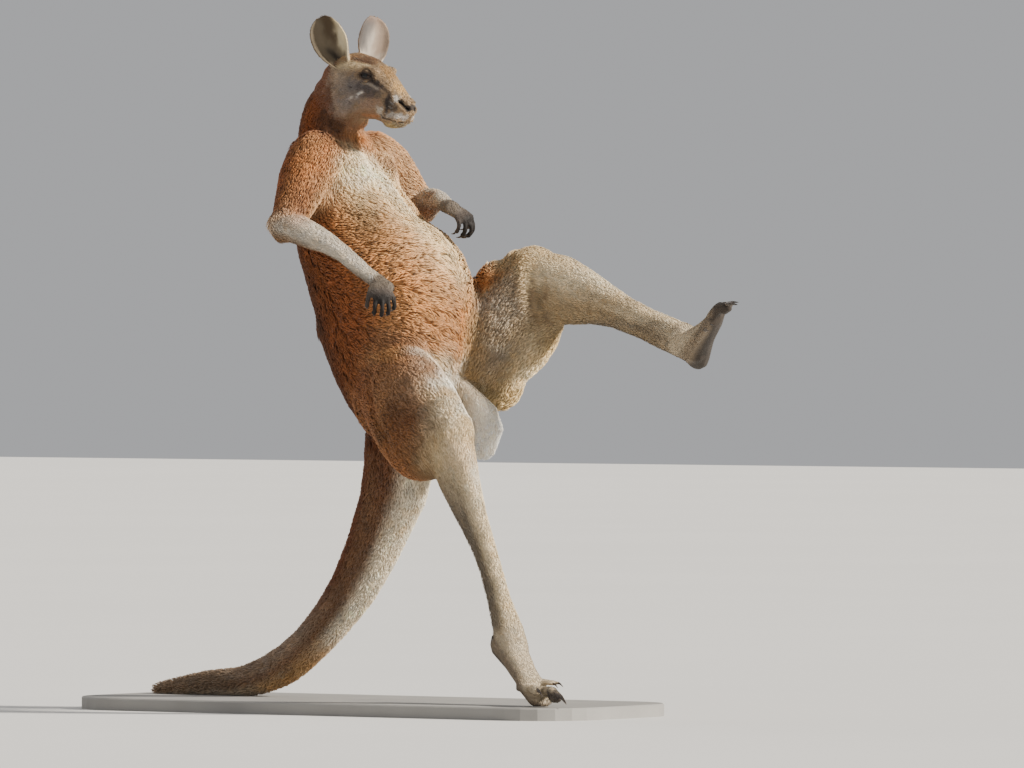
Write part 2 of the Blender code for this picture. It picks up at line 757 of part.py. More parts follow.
def hand(side, reach, back, curl):
    """A hand with five fingers, each bent down by curl at its two joints."""
    wrist = JOINTS[f"wrist_{side}"]
    way = reach.normalized()
    back = (back - back.project(way)).normalized()
    left = back.cross(way)
    across = left * (-1 if side == "R" else 1)
    start, end, front, rows = bone("forearm", side)
    palm = [
        (*(wrist - way * 0.012), 0.019, 0.016),
        (*(wrist + way * 0.012), 0.022, 0.015),
        (*(wrist + way * 0.035), 0.027, 0.014),
        (*(wrist + way * HAND_LENGTH), 0.027, 0.012),
    ]
    pieces = [
        limb("forearm", start, end, front, rows, sides=16, count=12, round_ends=(0, 0.5)),
        loft("palm", palm, left, sides=16, count=8, axis=way),
    ]
    claws = []
    for k, finger in enumerate(FINGERS):
        place = k - 2
        splay = math.radians(11 * place) * (1 if side == "L" else -1) * -1
        set_back = 0.006 * abs(place) + (0.010 if finger == "thumb" else 0)
        here = wrist + way * (HAND_LENGTH - set_back) - across * 0.0112 * place
        direction = turned(way, back, splay)
        hinge = back.cross(direction)
        joint = FINGER_JOINT * (0.85 if abs(place) == 2 else 1)
        rows = [(*(here - direction * 0.012), FINGER_RADIUS * 1.1, FINGER_RADIUS * 1.1)]
        bend = 0
        for step in range(3):
            bend += curl * (0.5 if step == 0 else 1)
            reach_to = turned(direction, hinge, bend)
            rows.append((*here, FINGER_RADIUS * (1.05 - 0.1 * step), FINGER_RADIUS * (1 - 0.08 * step)))
            here = here + reach_to * joint * (1 if step < 2 else 0.5)
        rows.append((*here, FINGER_RADIUS * 0.72, FINGER_RADIUS * 0.72))
        pieces.append(loft("finger", rows, left, sides=10, count=9))
        pieces.append(ball("pad", here - reach_to * 0.004, [FINGER_RADIUS * 1.05] * 3))
        palmward = turned(-back, hinge, bend)
        name = f"finger_claw_{finger}_{side}"
        claws.append((name, here - reach_to * 0.002, reach_to, palmward, FINGER_CLAW, 0.0034))
    made = fused(f"hand_{side}", pieces, 0.0022, 3, 500)
    halved(made, *last_cut("forearm", side), keep_front=True)
    return made, claws


FLESH = dict(BODY)
FLESH["head"] = head_solid()
for name, out in (("eye_R", -1), ("eye_L", 1)):
    paint(eye(name, out, FLESH["head"]), "eye")
for name in EARS:
    FLESH[name] = ear(name, FLESH["head"])
LIMB_ENDS = [
    foot("R", Vector((0.70, -0.34, -0.62)), Vector((0.55, -0.27, 0.79)), TOES_BEND_R),
    foot("L", Vector((0.700, -0.600, 0.355)), Vector((-0.635, -0.38, 0.67)), TOES_BEND_L),
    hand("R", Vector((0.48, -0.48, -0.46)), Vector((0.60, -0.60, 0.50)), math.radians(44)),
    hand("L", Vector((0.87, 0.06, -0.42)), Vector((0.40, -0.10, 0.91)), math.radians(48)),
]
for made, claws in LIMB_ENDS:
    FLESH[made.name] = made
    for name, root, way, down, length, radius in claws:
        point = claw(name, root, way, down, length, radius)
        paint(largest(boolean(point, swollen(made, GAP), "DIFFERENCE")), "dark")


# ---- Groin, ground and stand -----------------------------------------------------------------

SCROTUM = [
    (0.090, 0.022, 0.748, 0.020, 0.024),
    (0.124, 0.030, 0.708, 0.029, 0.035),
    (0.146, 0.036, 0.674, 0.039, 0.044),
    (0.150, 0.037, 0.640, 0.042, 0.043),
    (0.143, 0.036, 0.610, 0.034, 0.034),
]


def scrotum():
    made = loft("scrotum", SCROTUM, LEFT, sides=8, count=5)
    for name in ("belly", "thigh_R", "thigh_L"):
        boolean(made, swollen(FLESH[name], GAP), "DIFFERENCE")
    return largest(made)


FLESH["scrotum"] = scrotum()


def flattened(thing):
    """Trims a solid to the floor, so that it rests on a small flat."""
    if min(vertex.co.z for vertex in thing.data.vertices) < 0:
        halved(thing, Vector((0, 0, -GAP / 2)), UP, keep_front=True)
    return thing


BASE_CORNER = 0.16


def stand_base():
    """A plain slab under the foot and the tail, with rounded corners."""
    centre = Vector((sum(BASE_ENDS) / 2, sum(BASE_SIDES) / 2, -GAP - BASE_THICKNESS / 2))
    mesh = bmesh.new()
    bmesh.ops.create_cube(mesh, size=1)
    sizes = (BASE_ENDS[1] - BASE_ENDS[0], BASE_SIDES[1] - BASE_SIDES[0], BASE_THICKNESS)
    bmesh.ops.scale(mesh, verts=mesh.verts, vec=sizes)
    uprights = [e for e in mesh.edges if abs((e.verts[0].co - e.verts[1].co).z) > 1e-6]
    bmesh.ops.bevel(mesh, geom=uprights, offset=BASE_CORNER, segments=6, profile=0.5, affect="EDGES")
    rim = [e for e in mesh.edges if all(v.co.z > 0 for v in e.verts)]
    bmesh.ops.bevel(mesh, geom=rim, offset=0.003, segments=1, profile=0.5, affect="EDGES")
    bmesh.ops.translate(mesh, verts=mesh.verts, vec=centre)
    made = solid("stand_base", [], [])
    mesh.to_mesh(made.data)
    mesh.free()
    return paint(outward(made), "base")


FLESH_COLOURS = {
    "rust": ("neck", "chest", "belly", "thigh", "upper_arm", "tail_root"),
    "tan": ("tail_middle", "tail_bend", "tail_tip", "scrotum"),
    "pale": ("shank", "forearm", "foot"),
    "grey": ("head", "ear"),
    "dark": ("hand",),
}
for colour, kinds in FLESH_COLOURS.items():
    for name, thing in FLESH.items():
        if name.startswith(kinds):
            paint(thing, colour)
for name in ("foot_R", "tail_bend", "tail_tip"):
    flattened(FLESH[name])
for thing in list(PARTS.objects):
    if thing.name.startswith("toe_claw") and thing.name.endswith("_R"):
        flattened(thing)
stand_base()


def centre_on_origin():
    """Stands the whole on the floor, with the middle of its box over the origin."""
    points = [vertex.co for thing in PARTS.objects for vertex in thing.data.vertices]
    low = Vector(min(p[axis] for p in points) for axis in range(3))
    high = Vector(max(p[axis] for p in points) for axis in range(3))
    shift = Vector((-(low.x + high.x) / 2, -(low.y + high.y) / 2, -low.z))
    for thing in PARTS.objects:
        for vertex in thing.data.vertices:
            vertex.co += shift
    print("shifted by", tuple(round(v, 4) for v in shift), "size", tuple(round(v, 3) for v in high - low))
    return shift


SHIFT = centre_on_origin()
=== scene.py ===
# %% [markdown]
# # A big male red kangaroo, reared back on one foot and his tail
#
# The frame is a set of plain solids that say where every length of the animal is. This lesson
# gives it its look: one living skin over the flesh, a coat of short hair laid on it in thousands
# of small solid tufts, eyes, claws and a plain stand. Lengths are in metres. The animal faces +X,
# his left is +Y and up is +Z.

# %% Load the frame
import json
import math

import bmesh
import bpy
import numpy as np
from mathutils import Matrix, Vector
from mathutils.bvhtree import BVHTree
from mathutils.kdtree import KDTree

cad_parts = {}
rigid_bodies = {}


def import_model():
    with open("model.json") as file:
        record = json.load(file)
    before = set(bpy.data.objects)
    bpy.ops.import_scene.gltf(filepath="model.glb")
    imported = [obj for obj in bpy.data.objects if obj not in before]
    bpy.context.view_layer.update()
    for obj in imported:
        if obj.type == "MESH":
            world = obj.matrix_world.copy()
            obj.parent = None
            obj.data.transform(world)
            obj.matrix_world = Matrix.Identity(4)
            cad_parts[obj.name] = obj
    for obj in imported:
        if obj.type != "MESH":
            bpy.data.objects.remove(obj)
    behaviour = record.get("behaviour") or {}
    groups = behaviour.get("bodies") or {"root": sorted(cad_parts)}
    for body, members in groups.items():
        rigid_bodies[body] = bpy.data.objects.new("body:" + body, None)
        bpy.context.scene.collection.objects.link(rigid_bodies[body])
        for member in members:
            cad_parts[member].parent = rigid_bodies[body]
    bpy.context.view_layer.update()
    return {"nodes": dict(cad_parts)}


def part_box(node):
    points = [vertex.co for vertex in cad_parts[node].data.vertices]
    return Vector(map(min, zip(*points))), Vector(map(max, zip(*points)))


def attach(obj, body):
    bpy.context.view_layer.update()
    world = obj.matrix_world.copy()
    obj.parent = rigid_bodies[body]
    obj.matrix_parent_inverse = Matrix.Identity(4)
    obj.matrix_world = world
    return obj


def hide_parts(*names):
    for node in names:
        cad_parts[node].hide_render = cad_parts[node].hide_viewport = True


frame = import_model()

NODES = frame["nodes"]

# %% [markdown]
# ## Camera, floor and light
#
# A long lens a good way off keeps the animal's proportions true, as a wildlife lens does. The
# camera is level, so upright things stay upright, and its shift lowers the view instead. One
# strong warm lamp stands for the low sun, ahead of the animal, and two weak broad ones keep the
# shaded side readable, so that the fur shows its form without hard black shadows.

# %% Camera
LOOK_TURN = math.radians(35)
ACROSS = Vector((math.cos(LOOK_TURN), math.sin(LOOK_TURN), 0))
AWAY = Vector((-math.sin(LOOK_TURN), math.cos(LOOK_TURN), 0))
UP = Vector((0, 0, 1))
STAND_UNDER = Vector((-0.0307, 0.0094, 0.0303))  # the floor below the pelvis, on the slab
EYE_LEVEL = 1.063
lens = bpy.data.cameras.new("long_lens")
lens.lens, lens.sensor_width = 440, 36
lens.shift_y = -0.124
lens.clip_end = 100
camera = bpy.data.objects.new("camera", lens)
camera.location = STAND_UNDER + 0.2064 * ACROSS - 30.04 * AWAY + EYE_LEVEL * UP
camera.rotation_euler = (math.radians(90), 0, LOOK_TURN)
bpy.context.scene.collection.objects.link(camera)
bpy.context.scene.camera = camera
print("camera at", [round(n, 3) for n in camera.location])

# %% Lamps and air
def sun(name, towards, strength, width, colour):
    """A lamp so far off that its light is parallel; its width in the sky softens the shadows."""
    light = bpy.data.lights.new(name, "SUN")
    light.energy, light.angle, light.color = strength, math.radians(width), colour
    made = bpy.data.objects.new(name, light)
    made.rotation_euler = (-towards).to_track_quat("-Z", "Y").to_euler()
    bpy.context.scene.collection.objects.link(made)


sun("low_sun", 1.00 * ACROSS - 0.34 * AWAY + 0.56 * UP, 9.4, 5, (1.0, 0.94, 0.84))
sun("sky_fill", -0.9 * ACROSS - 1.0 * AWAY + 0.6 * UP, 0.36, 60, (0.98, 0.98, 1.0))
sun("back_glow", -0.8 * ACROSS + 0.9 * AWAY + 0.8 * UP, 0.6, 30, (1.0, 0.93, 0.84))

world = bpy.data.worlds.new("pale_air")
world.use_nodes = True
air = world.node_tree.nodes["Background"]
air.inputs["Color"].default_value = (0.96, 0.97, 1.0, 1)
air.inputs["Strength"].default_value = 0.45
bpy.context.scene.world = world

# %% [markdown]
# ## Writing materials as sums
#
# A finish is a small network of nodes. Drawn by hand it is quick to read and slow to repeat, so
# here a wire between nodes is wrapped in a class, and sums on wires add the Math nodes.

# %% Nodes from plain Python
class Wire:
    """One output of a node, on which sums can be written."""

    def __init__(self, net, socket):
        self.net, self.socket = net, socket

    def sum(self, operation, first, second):
        return self.net.node("ShaderNodeMath", {"operation": operation}, {0: first, 1: second})

    def __add__(self, other): return self.sum("ADD", self, other)
    def __radd__(self, other): return self.sum("ADD", other, self)
    def __sub__(self, other): return self.sum("SUBTRACT", self, other)
    def __rsub__(self, other): return self.sum("SUBTRACT", other, self)
    def __mul__(self, other): return self.sum("MULTIPLY", self, other)
    def __rmul__(self, other): return self.sum("MULTIPLY", other, self)


class Net:
    """A node tree in which one method makes any node: its type, its settings, then its inputs."""

    def __init__(self, tree):
        self.tree = tree

    def node(self, kind, settings=None, inputs=None, out=0):
        made = self.tree.nodes.new(kind)
        for name, value in (settings or {}).items():
            if name == "stops":
                ramp = made.color_ramp.elements
                while len(ramp) < len(value):
                    ramp.new(0.5)
                for stop, (place, colour) in zip(ramp, value):
                    stop.position, stop.color = place, (*colour, 1)
            else:
                setattr(made, name, value)
        for name, value in (inputs or {}).items():
            if isinstance(value, Wire):
                self.tree.links.new(value.socket, made.inputs[name])
            else:
                made.inputs[name].default_value = value
        return Wire(self, made.outputs[out])

    def tint(self, colour, amount):
        """The colour wire made darker or lighter by a number wire."""
        return self.node("ShaderNodeVectorMath", {"operation": "SCALE"}, {0: colour, "Scale": amount})

    def noise(self, scale, detail):
        """Noise that stays with the piece: its scale to the metre, and its layers of detail."""
        where = self.node("ShaderNodeTexCoord", out=3)
        return self.node("ShaderNodeTexNoise", {}, {"Vector": where, "Scale": scale, "Detail": detail})

    def blend(self, share, first, second):
        return self.node("ShaderNodeMix", {"data_type": "RGBA"}, {0: share, 6: first, 7: second}, 2)


def finish_named(name, roughness, **fixed):
    """An empty finish: its net, the place for its colour and a way to set its plain numbers."""
    made = bpy.data.materials.new(name)
    made.use_nodes = True
    shader = made.node_tree.nodes["Principled BSDF"]
    shader.inputs["Roughness"].default_value = roughness
    for socket, value in fixed.items():
        shader.inputs[socket.replace("_", " ")].default_value = value
    return made, Net(made.node_tree), shader


def plug(net, wire, shader, socket):
    net.tree.links.new(wire.socket, shader.inputs[socket])


def bumpy(net, shader, height, strength, deep):
    """Fine bumps on a finish, from a number wire."""
    bump = net.node("ShaderNodeBump", {}, {"Strength": strength, "Distance": deep, "Height": height})
    plug(net, bump, shader, "Normal")


def linear(code):
    """A colour such as "d59a5f" as three linear numbers."""
    parts = np.array([int(code[n:n + 2], 16) for n in (0, 2, 4)]) / 255
    return np.where(parts < 0.04045, parts / 12.92, ((parts + 0.055) / 1.055) ** 2.4)


# %% Floor
def floor_finish():
    made, net, shader = finish_named("pale_floor", 0.9)
    cloud = net.noise(0.6, 3.0)
    plug(net, net.blend(cloud, (0.60, 0.59, 0.57, 1), (0.66, 0.65, 0.63, 1)), shader, "Base Color")
    return made


floor_mesh = bpy.data.meshes.new("floor")
FLOOR_REACH = 30
corners = [(x * FLOOR_REACH, y * FLOOR_REACH, 0) for x, y in ((-1, -1), (1, -1), (1, 1), (-1, 1))]
floor_mesh.from_pydata(corners, [], [(0, 1, 2, 3)])
floor = bpy.data.objects.new("floor", floor_mesh)
floor_mesh.materials.append(floor_finish())
bpy.context.scene.collection.objects.link(floor)

# %% [markdown]
# ## The bones as a map
#
# Hair is combed along the limbs and round the barrel of the body, and the markings follow the
# same lines. So every length of the body gets a line down its middle, given from where its hair
# starts to where its hair points, and a direction that is its front. Any point of the skin then
# has a place along a bone and an angle round it, which serves for colour, for combing and for
# unwrapping.

# %% Lines down the body
def placed(rows):
    return np.array(rows, float) + np.array(STAND_UNDER)


def unit(vectors):
    vectors = np.asarray(vectors, float)
    return vectors / np.maximum(np.linalg.norm(vectors, axis=-1, keepdims=True), 1e-9)


JOINTS = {
    "hip_R": (-0.010, -0.112, 0.752), "knee_R": (0.230, -0.222, 0.657), "ankle_R": (0.350, -0.142, 0.150),
    "hip_L": (0.036, 0.108, 0.786), "knee_L": (0.184, 0.162, 1.025), "ankle_L": (0.673, 0.133, 0.861),
    "shoulder_R": (-0.250, -0.135, 1.275), "elbow_R": (-0.233, -0.250, 1.135),
    "wrist_R": (0.048, -0.262, 1.000), "shoulder_L": (-0.227, 0.117, 1.288),
    "elbow_L": (-0.199, 0.263, 1.183), "wrist_L": (0.030, 0.058, 1.180),
}
HEAD_AT = placed((-0.225, 0.000, 1.469))
HEAD_TURN = math.radians(-7)
HEAD_AXES = np.array([(math.cos(HEAD_TURN), math.sin(HEAD_TURN), 0),
                      (-math.sin(HEAD_TURN), math.cos(HEAD_TURN), 0), (0, 0, 1)])
FOOT_WAY = {"R": (0.64, -0.38, -0.67), "L": (0.700, -0.600, 0.355)}
FOOT_UP = {"R": (0.57, -0.34, 0.74), "L": (-0.635, -0.38, 0.67)}
HAND_WAY = {"R": (0.48, -0.48, -0.46), "L": (0.87, 0.06, -0.42)}
HAND_BACK = {"R": (0.60, -0.60, 0.50), "L": (0.40, -0.10, 0.91)}
EAR_ROOT = {"R": (0.002, -0.036, 0.060), "L": (0.010, 0.045, 0.051)}
EAR_WAY = {"R": (-0.37, -0.20, 0.90), "L": (0.00, 0.26, 0.97)}
EAR_OPENS = {"R": (0.45, -0.89, 0), "L": (0.96, -0.28, 0)}
EAR_LENGTH = 0.138


def from_head(points):
    """Places given ahead, left and up of the middle of the skull, in the frame."""
    return HEAD_AT + np.asarray(points, float) @ HEAD_AXES


def to_head(points):
    return (points - HEAD_AT) @ HEAD_AXES.T


def one_side(at):
    """Places on the head with its right half folded on to its left."""
    return at * (1, 0, 1) + np.abs(at[:, 1:2]) * (0, 1, 0)


BONES = {
    "trunk": (placed([(-0.280, 0, 1.345), (-0.264, 0, 1.280), (-0.228, 0, 1.180), (-0.172, 0, 1.070),
                      (-0.097, 0, 0.960), (-0.078, 0, 0.863), (-0.058, 0, 0.755), (-0.020, 0, 0.620)]),
              (1, 0, 0.2)),
    "neck": (placed([(-0.235, 0, 1.480), (-0.260, 0, 1.445), (-0.282, 0, 1.395), (-0.280, 0, 1.340),
                     (-0.256, 0, 1.270)]), (1, 0, 0)),
    "tail": (placed([(-0.055, 0, 0.720), (-0.080, 0, 0.560), (-0.120, 0, 0.440), (-0.170, 0, 0.338),
                     (-0.220, 0, 0.258), (-0.279, 0, 0.190), (-0.336, 0, 0.135), (-0.412, 0, 0.079),
                     (-0.521, 0, 0.038), (-0.671, 0, 0.026), (-0.800, 0, 0.011)]), (0.75, 0, -0.6)),
    "head": (from_head([(0.205, 0, -0.052), (0.160, 0, -0.040), (0.10, 0, -0.010), (0.02, 0, 0.0),
                        (-0.060, 0, 0.0)]), (0, 0, 1)),
}
LIMB_FRONTS = {
    "thigh_R": (0.30, 0, 1), "shank_R": (0.86, -0.51, 0), "thigh_L": (-0.85, 0, 0.55),
    "shank_L": (0.33, 0, 0.94), "upper_arm_R": (1, 0, 0.1), "forearm_R": (0.4, -0.2, 0.9),
    "upper_arm_L": (0.6, 0.2, 0.8), "forearm_L": (0.2, 0.3, 0.9),
}
for side in "RL":
    for bone, first, last in (("thigh", "hip", "knee"), ("shank", "knee", "ankle"),
                              ("upper_arm", "shoulder", "elbow"), ("forearm", "elbow", "wrist")):
        name = f"{bone}_{side}"
        BONES[name] = (placed([JOINTS[f"{first}_{side}"], JOINTS[f"{last}_{side}"]]), LIMB_FRONTS[name])
    ankle, wrist = placed(JOINTS[f"ankle_{side}"]), placed(JOINTS[f"wrist_{side}"])
    BONES[f"foot_{side}"] = (np.array([ankle, ankle + 0.29 * unit(FOOT_WAY[side])]), FOOT_UP[side])
    BONES[f"hand_{side}"] = (np.array([wrist, wrist + 0.12 * unit(HAND_WAY[side])]), HAND_BACK[side])
    root = from_head(EAR_ROOT[side])
    tip = from_head(np.array(EAR_ROOT[side]) + EAR_LENGTH * unit(EAR_WAY[side]))
    BONES[f"ear_{side}"] = (np.array([root, tip]), np.array(EAR_OPENS[side]) @ HEAD_AXES)
low, high = (np.array(corner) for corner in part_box("scrotum"))
middle = (low + high)[:2] / 2
BONES["scrotum"] = (np.array([[*middle, high[2]], [*middle, low[2]]]), (1, 0, 0))
BONE_NAMES = list(BONES)
NUMBER = {name: number for number, name in enumerate(BONE_NAMES)}

NODE_BONES = {"belly": "trunk", "chest": "trunk", "neck": "neck", "head": "head", "scrotum": "scrotum"}
NODE_BONES |= {name: "tail" for name in NODES if name.startswith("tail")}
NODE_BONES |= {name: name for name in NODES if name in BONES}
print(len(BONES), "lines for", len(NODE_BONES), "lengths of flesh")

# %% Place along a line and round it
def follow(points, bone):
    """How far along the line each point is, from 0 to 1, its way round (1 in front, -1 behind),
    its way to the left, the line's own direction there and the direction outward."""
    path, front = BONES[bone]
    starts, steps = path[:-1], np.diff(path, axis=0)
    lengths = np.linalg.norm(steps, axis=1)
    share = ((points[:, None] - starts) * steps).sum(-1) / lengths ** 2
    share = np.clip(share, 0, 1)
    near = starts + share[..., None] * steps
    nearest = np.linalg.norm(points[:, None] - near, axis=-1).argmin(1)
    rows = np.arange(len(points))
    run = (np.concatenate([[0], np.cumsum(lengths)[:-1]])[nearest] + share[rows, nearest] * lengths[nearest])
    way = unit(steps)[nearest]
    outward = points - near[rows, nearest]
    outward = unit(outward - (outward * way).sum(1, keepdims=True) * way)
    front = unit(np.array(front, float) - (way @ np.array(front, float))[:, None] * way)
    left = np.cross(front, way)
    return {"along": run / lengths.sum(), "front": (outward * front).sum(1), "left": (outward * left).sum(1),
            "way": way, "out": outward, "round": left * (outward * front).sum(1, keepdims=True)
            - front * (outward * left).sum(1, keepdims=True)}


def step(low, high, values):
    """0 below low, 1 above high and smooth between them; high may be the smaller."""
    share = np.clip((values - low) / (high - low), 0, 1)
    return share * share * (3 - 2 * share)


def cloud(points, size, seed):
    """Soft noise from -1 to 1 with lumps of about that size: a few waves in odd directions."""
    dice = np.random.default_rng(seed)
    total = np.zeros(len(points))
    for _ in range(9):
        way = unit(dice.normal(size=3)) * dice.uniform(0.7, 1.5) * 2 * math.pi / (2.2 * size)
        total += np.sin(points @ way + dice.uniform(0, 7))
    return np.clip(total / 3.2, -1, 1)


# %% [markdown]
# ## One skin
#
# The frame's solids meet at flat cuts, and their faces are coarse. The skin is made from copies
# of all of them: each is swollen by a hair's breadth so that the cuts close, the lot is rebuilt
# as one surface by a voxel remesh, and the surface is relaxed until the facets are gone, a lot
# on the barrel of the body and hardly at all on the face and toes. It is then drawn in by the
# depth of the coat, because the solids are the size of the animal with its hair on.

# %% Merge the flesh
GRAIN = 0.0024
SEAM_SWELL = 0.0004
EAR_SWELL = 0.0016
SOCKET_SWELL = 0.0014  # an eye ball this much bigger fills its socket, so that skin lies over it


def points_of(mesh):
    found = np.empty(len(mesh.vertices) * 3, np.float32)
    mesh.vertices.foreach_get("co", found)
    return found.reshape(-1, 3).astype(float)


def faces_of(mesh):
    """The mesh's triangles as rows of three point numbers."""
    mesh.calc_loop_triangles()
    found = np.empty(len(mesh.loop_triangles) * 3, np.int32)
    mesh.loop_triangles.foreach_get("vertices", found)
    return found.reshape(-1, 3)


def object_of(name, mesh):
    made = bpy.data.objects.new(name, mesh)
    bpy.context.scene.collection.objects.link(made)
    return made


def mesh_of(name, points, faces):
    mesh = bpy.data.meshes.new(name)
    mesh.from_pydata(points.tolist(), [], faces.tolist())
    return mesh


def solid_of(name, points, faces):
    return object_of(name, mesh_of(name, points, faces))


def painted(mesh, attribute, colours):
    """Stores a colour at each of a mesh's points."""
    rgba = np.concatenate([np.clip(colours, 0, 1), np.ones((len(colours), 1))], axis=1)
    store = mesh.attributes.new(attribute, "FLOAT_COLOR", "POINT")
    store.data.foreach_set("color", rgba.astype(np.float32).ravel())


def merged_copy(node, swell=0.0):
    """A node's mesh with its loose triangles joined and, if asked, swollen."""
    shape = bmesh.new()
    shape.from_mesh(NODES[node].data)
    bmesh.ops.remove_doubles(shape, verts=shape.verts, dist=1e-5)
    shape.normal_update()
    for v in shape.verts:
        v.co += v.normal * swell
    points = np.array([v.co for v in shape.verts])
    faces = np.array([[v.index for v in f.verts] for f in shape.faces])
    shape.free()
    return points, faces


def stacked(pieces):
    """Several meshes as one, with the point numbers moved on."""
    points, faces, first = [], [], 0
    for some_points, some_faces in pieces:
        points.append(some_points)
        faces.append(some_faces + first)
        first += len(some_points)
    return np.concatenate(points), np.concatenate(faces)


def settled(thing):
    """The mesh that a piece's modifiers make; the piece itself is thrown away."""
    graph = bpy.context.evaluated_depsgraph_get()
    mesh = bpy.data.meshes.new_from_object(thing.evaluated_get(graph))
    bpy.data.objects.remove(thing)
    return mesh


flesh = [merged_copy(node, EAR_SWELL if node.startswith("ear") else SEAM_SWELL) for node in NODE_BONES]
sockets = [merged_copy(f"eye_{side}", SOCKET_SWELL) for side in "RL"]
body = solid_of("flesh", *stacked(flesh + sockets))
weld = body.modifiers.new("one_surface", "REMESH")
weld.mode, weld.voxel_size = "VOXEL", GRAIN
mesh = settled(body)


def edges_of(faces):
    """Each edge of the triangles once, as two point numbers."""
    pairs = np.sort(np.concatenate([faces[:, [0, 1]], faces[:, [1, 2]], faces[:, [2, 0]]]), axis=1)
    keys = np.unique(pairs[:, 0].astype(np.int64) << 32 | pairs[:, 1])
    return np.stack([keys >> 32, keys & 0xFFFFFFFF], axis=1)


def largest_shell(points, faces):
    """The biggest connected surface: a remesh can leave small closed bubbles inside."""
    edges = edges_of(faces)
    label = np.arange(len(points))
    while True:
        lowest = np.minimum(label[edges[:, 0]], label[edges[:, 1]])
        found = label.copy()
        for end in (0, 1):
            np.minimum.at(found, label[edges[:, end]], lowest)
        while (found != found[found]).any():
            found = found[found]
        if (found == label).all():
            break
        label = found
    names, sizes = np.unique(label, return_counts=True)
    mine = label == names[sizes.argmax()]
    print("shells of", sorted(sizes.tolist())[-5:], "points")
    renumber = np.cumsum(mine) - 1
    return points[mine], renumber[faces[mine[faces[:, 0]]]]


skin_points, skin_faces = largest_shell(points_of(mesh), faces_of(mesh))
print("one surface of", len(skin_points), "points")

# %% Which bone each point belongs to
owner_points, owner_faces, owners = [], [], []
for (some_points, some_faces), node in zip(flesh, NODE_BONES):
    owner_faces.append(some_faces + sum(map(len, owner_points)))
    owner_points.append(some_points)
    owners += [NUMBER[NODE_BONES[node]]] * len(some_faces)
OWNERS = np.array(owners)
FLESH_TREE = BVHTree.FromPolygons(np.concatenate(owner_points).tolist(), np.concatenate(owner_faces).tolist())


def bones_at(points):
    """The number of the bone under each point, by the nearest face of the flesh."""
    return OWNERS[[FLESH_TREE.find_nearest(p)[2] for p in points.tolist()]]


def relaxed(values, edges, passes, amount=1.0):
    """Each point's value drawn towards the mean of its neighbours', again and again."""
    values = np.array(values, float)
    flat = values.reshape(len(values), -1)
    first, second = edges.T
    size = len(flat)
    count = np.maximum(np.bincount(first, minlength=size) + np.bincount(second, minlength=size), 1)
    amount = np.broadcast_to(amount, size)
    for _ in range(passes):
        for column in flat.T:
            total = np.bincount(first, column[second], size) + np.bincount(second, column[first], size)
            column += amount * (total / count - column)
    return flat.reshape(values.shape)


def normals_of(points, faces):
    a, b, c = (points[faces[:, n]] for n in range(3))
    flat = np.cross(b - a, c - a)
    return unit(np.stack([sum(np.bincount(faces[:, corner], flat[:, n], len(points)) for corner in range(3))
                          for n in range(3)], axis=1))


def each_bone(bone):
    """Each bone that owns some of the points, with the numbers of those points."""
    for number, name in enumerate(BONE_NAMES):
        mine = np.flatnonzero(bone == number)
        if len(mine):
            yield name, mine


SMOOTHING = {"trunk": 1.0, "neck": 0.6, "tail": 0.6, "thigh": 0.8, "shank": 0.35, "foot": 0.07, "head": 0.07,
             "ear": 0.03, "hand": 0.03, "forearm": 0.25, "upper_arm": 0.5, "scrotum": 0.1}
DEPTH = {"trunk": 0.0080, "neck": 0.0060, "tail": 0.0065, "thigh": 0.0065, "shank": 0.0030, "foot": 0.0012,
         "head": 0.0018, "ear": 0.0010, "hand": 0.0006, "forearm": 0.0022, "upper_arm": 0.0050,
         "scrotum": 0.003}


def per_bone(table):
    """A number for each bone, from a table that names a pair of limbs once."""
    return np.array([table[name if name in table else name[:-2]] for name in BONE_NAMES])


bone = bones_at(skin_points)
edges = edges_of(skin_faces)
amount = relaxed(per_bone(SMOOTHING)[bone], edges, 12)
passes = 46  # of relaxing; more makes the broad forms smoother
before = skin_points
skin_points = relaxed(before, edges, passes, amount)
# Relaxing pulls round forms in, so the skin is put back out by what each neighbourhood lost.
normals = normals_of(skin_points, skin_faces)
lost = relaxed(((before - skin_points) * normals).sum(1), edges, passes)
skin_points += normals * lost[:, None]
depth = relaxed(per_bone(DEPTH)[bone], edges, 12)
skin_points -= relaxed(normals_of(skin_points, skin_faces), edges, 2) * depth[:, None]
print("relaxed and drawn in by up to", round(depth.max() * 1000, 1), "mm")

# %% Thin out where the form is broad
BROAD = {"trunk", "neck", "tail", "thigh", "shank", "forearm", "upper_arm", "scrotum"}
FACE_STARTS = 0.045  # ahead of the skull's middle, where the mesh stays as close as it is
BROAD_TRIANGLES, MIDDLE_TRIANGLES = ((58_000, 40_000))


def broad(bone):
    return np.array([name in BROAD or name[:-2] in BROAD for name in BONE_NAMES])[bone]


is_broad = broad(bone)
at = to_head(skin_points)
is_face = (bone == NUMBER["head"]) & (at[:, 0] > FACE_STARTS)
is_middle = ~is_broad & ~is_face


def thinned(points, faces, chosen, left):
    """The surface with the chosen points' faces merged until about that many of them are left."""
    mine = int(chosen[faces].all(1).sum())
    rough = solid_of("rough_skin", points, faces)
    rough.vertex_groups.new(name="chosen").add(np.flatnonzero(chosen).tolist(), 1.0, "REPLACE")
    thin = rough.modifiers.new("thin_out", "DECIMATE")
    thin.ratio, thin.vertex_group = 1 - max(mine - left, 0) / len(faces), "chosen"
    mesh = settled(rough)
    print("thinned", mine, "triangles to", left, "and the rest kept, of", len(faces))
    return points_of(mesh), faces_of(mesh)


def tree_of(places):
    """A search tree that finds the nearest of these places."""
    tree = KDTree(len(places))
    for number, place in enumerate(places.tolist()):
        tree.insert(place, number)
    tree.balance()
    return tree


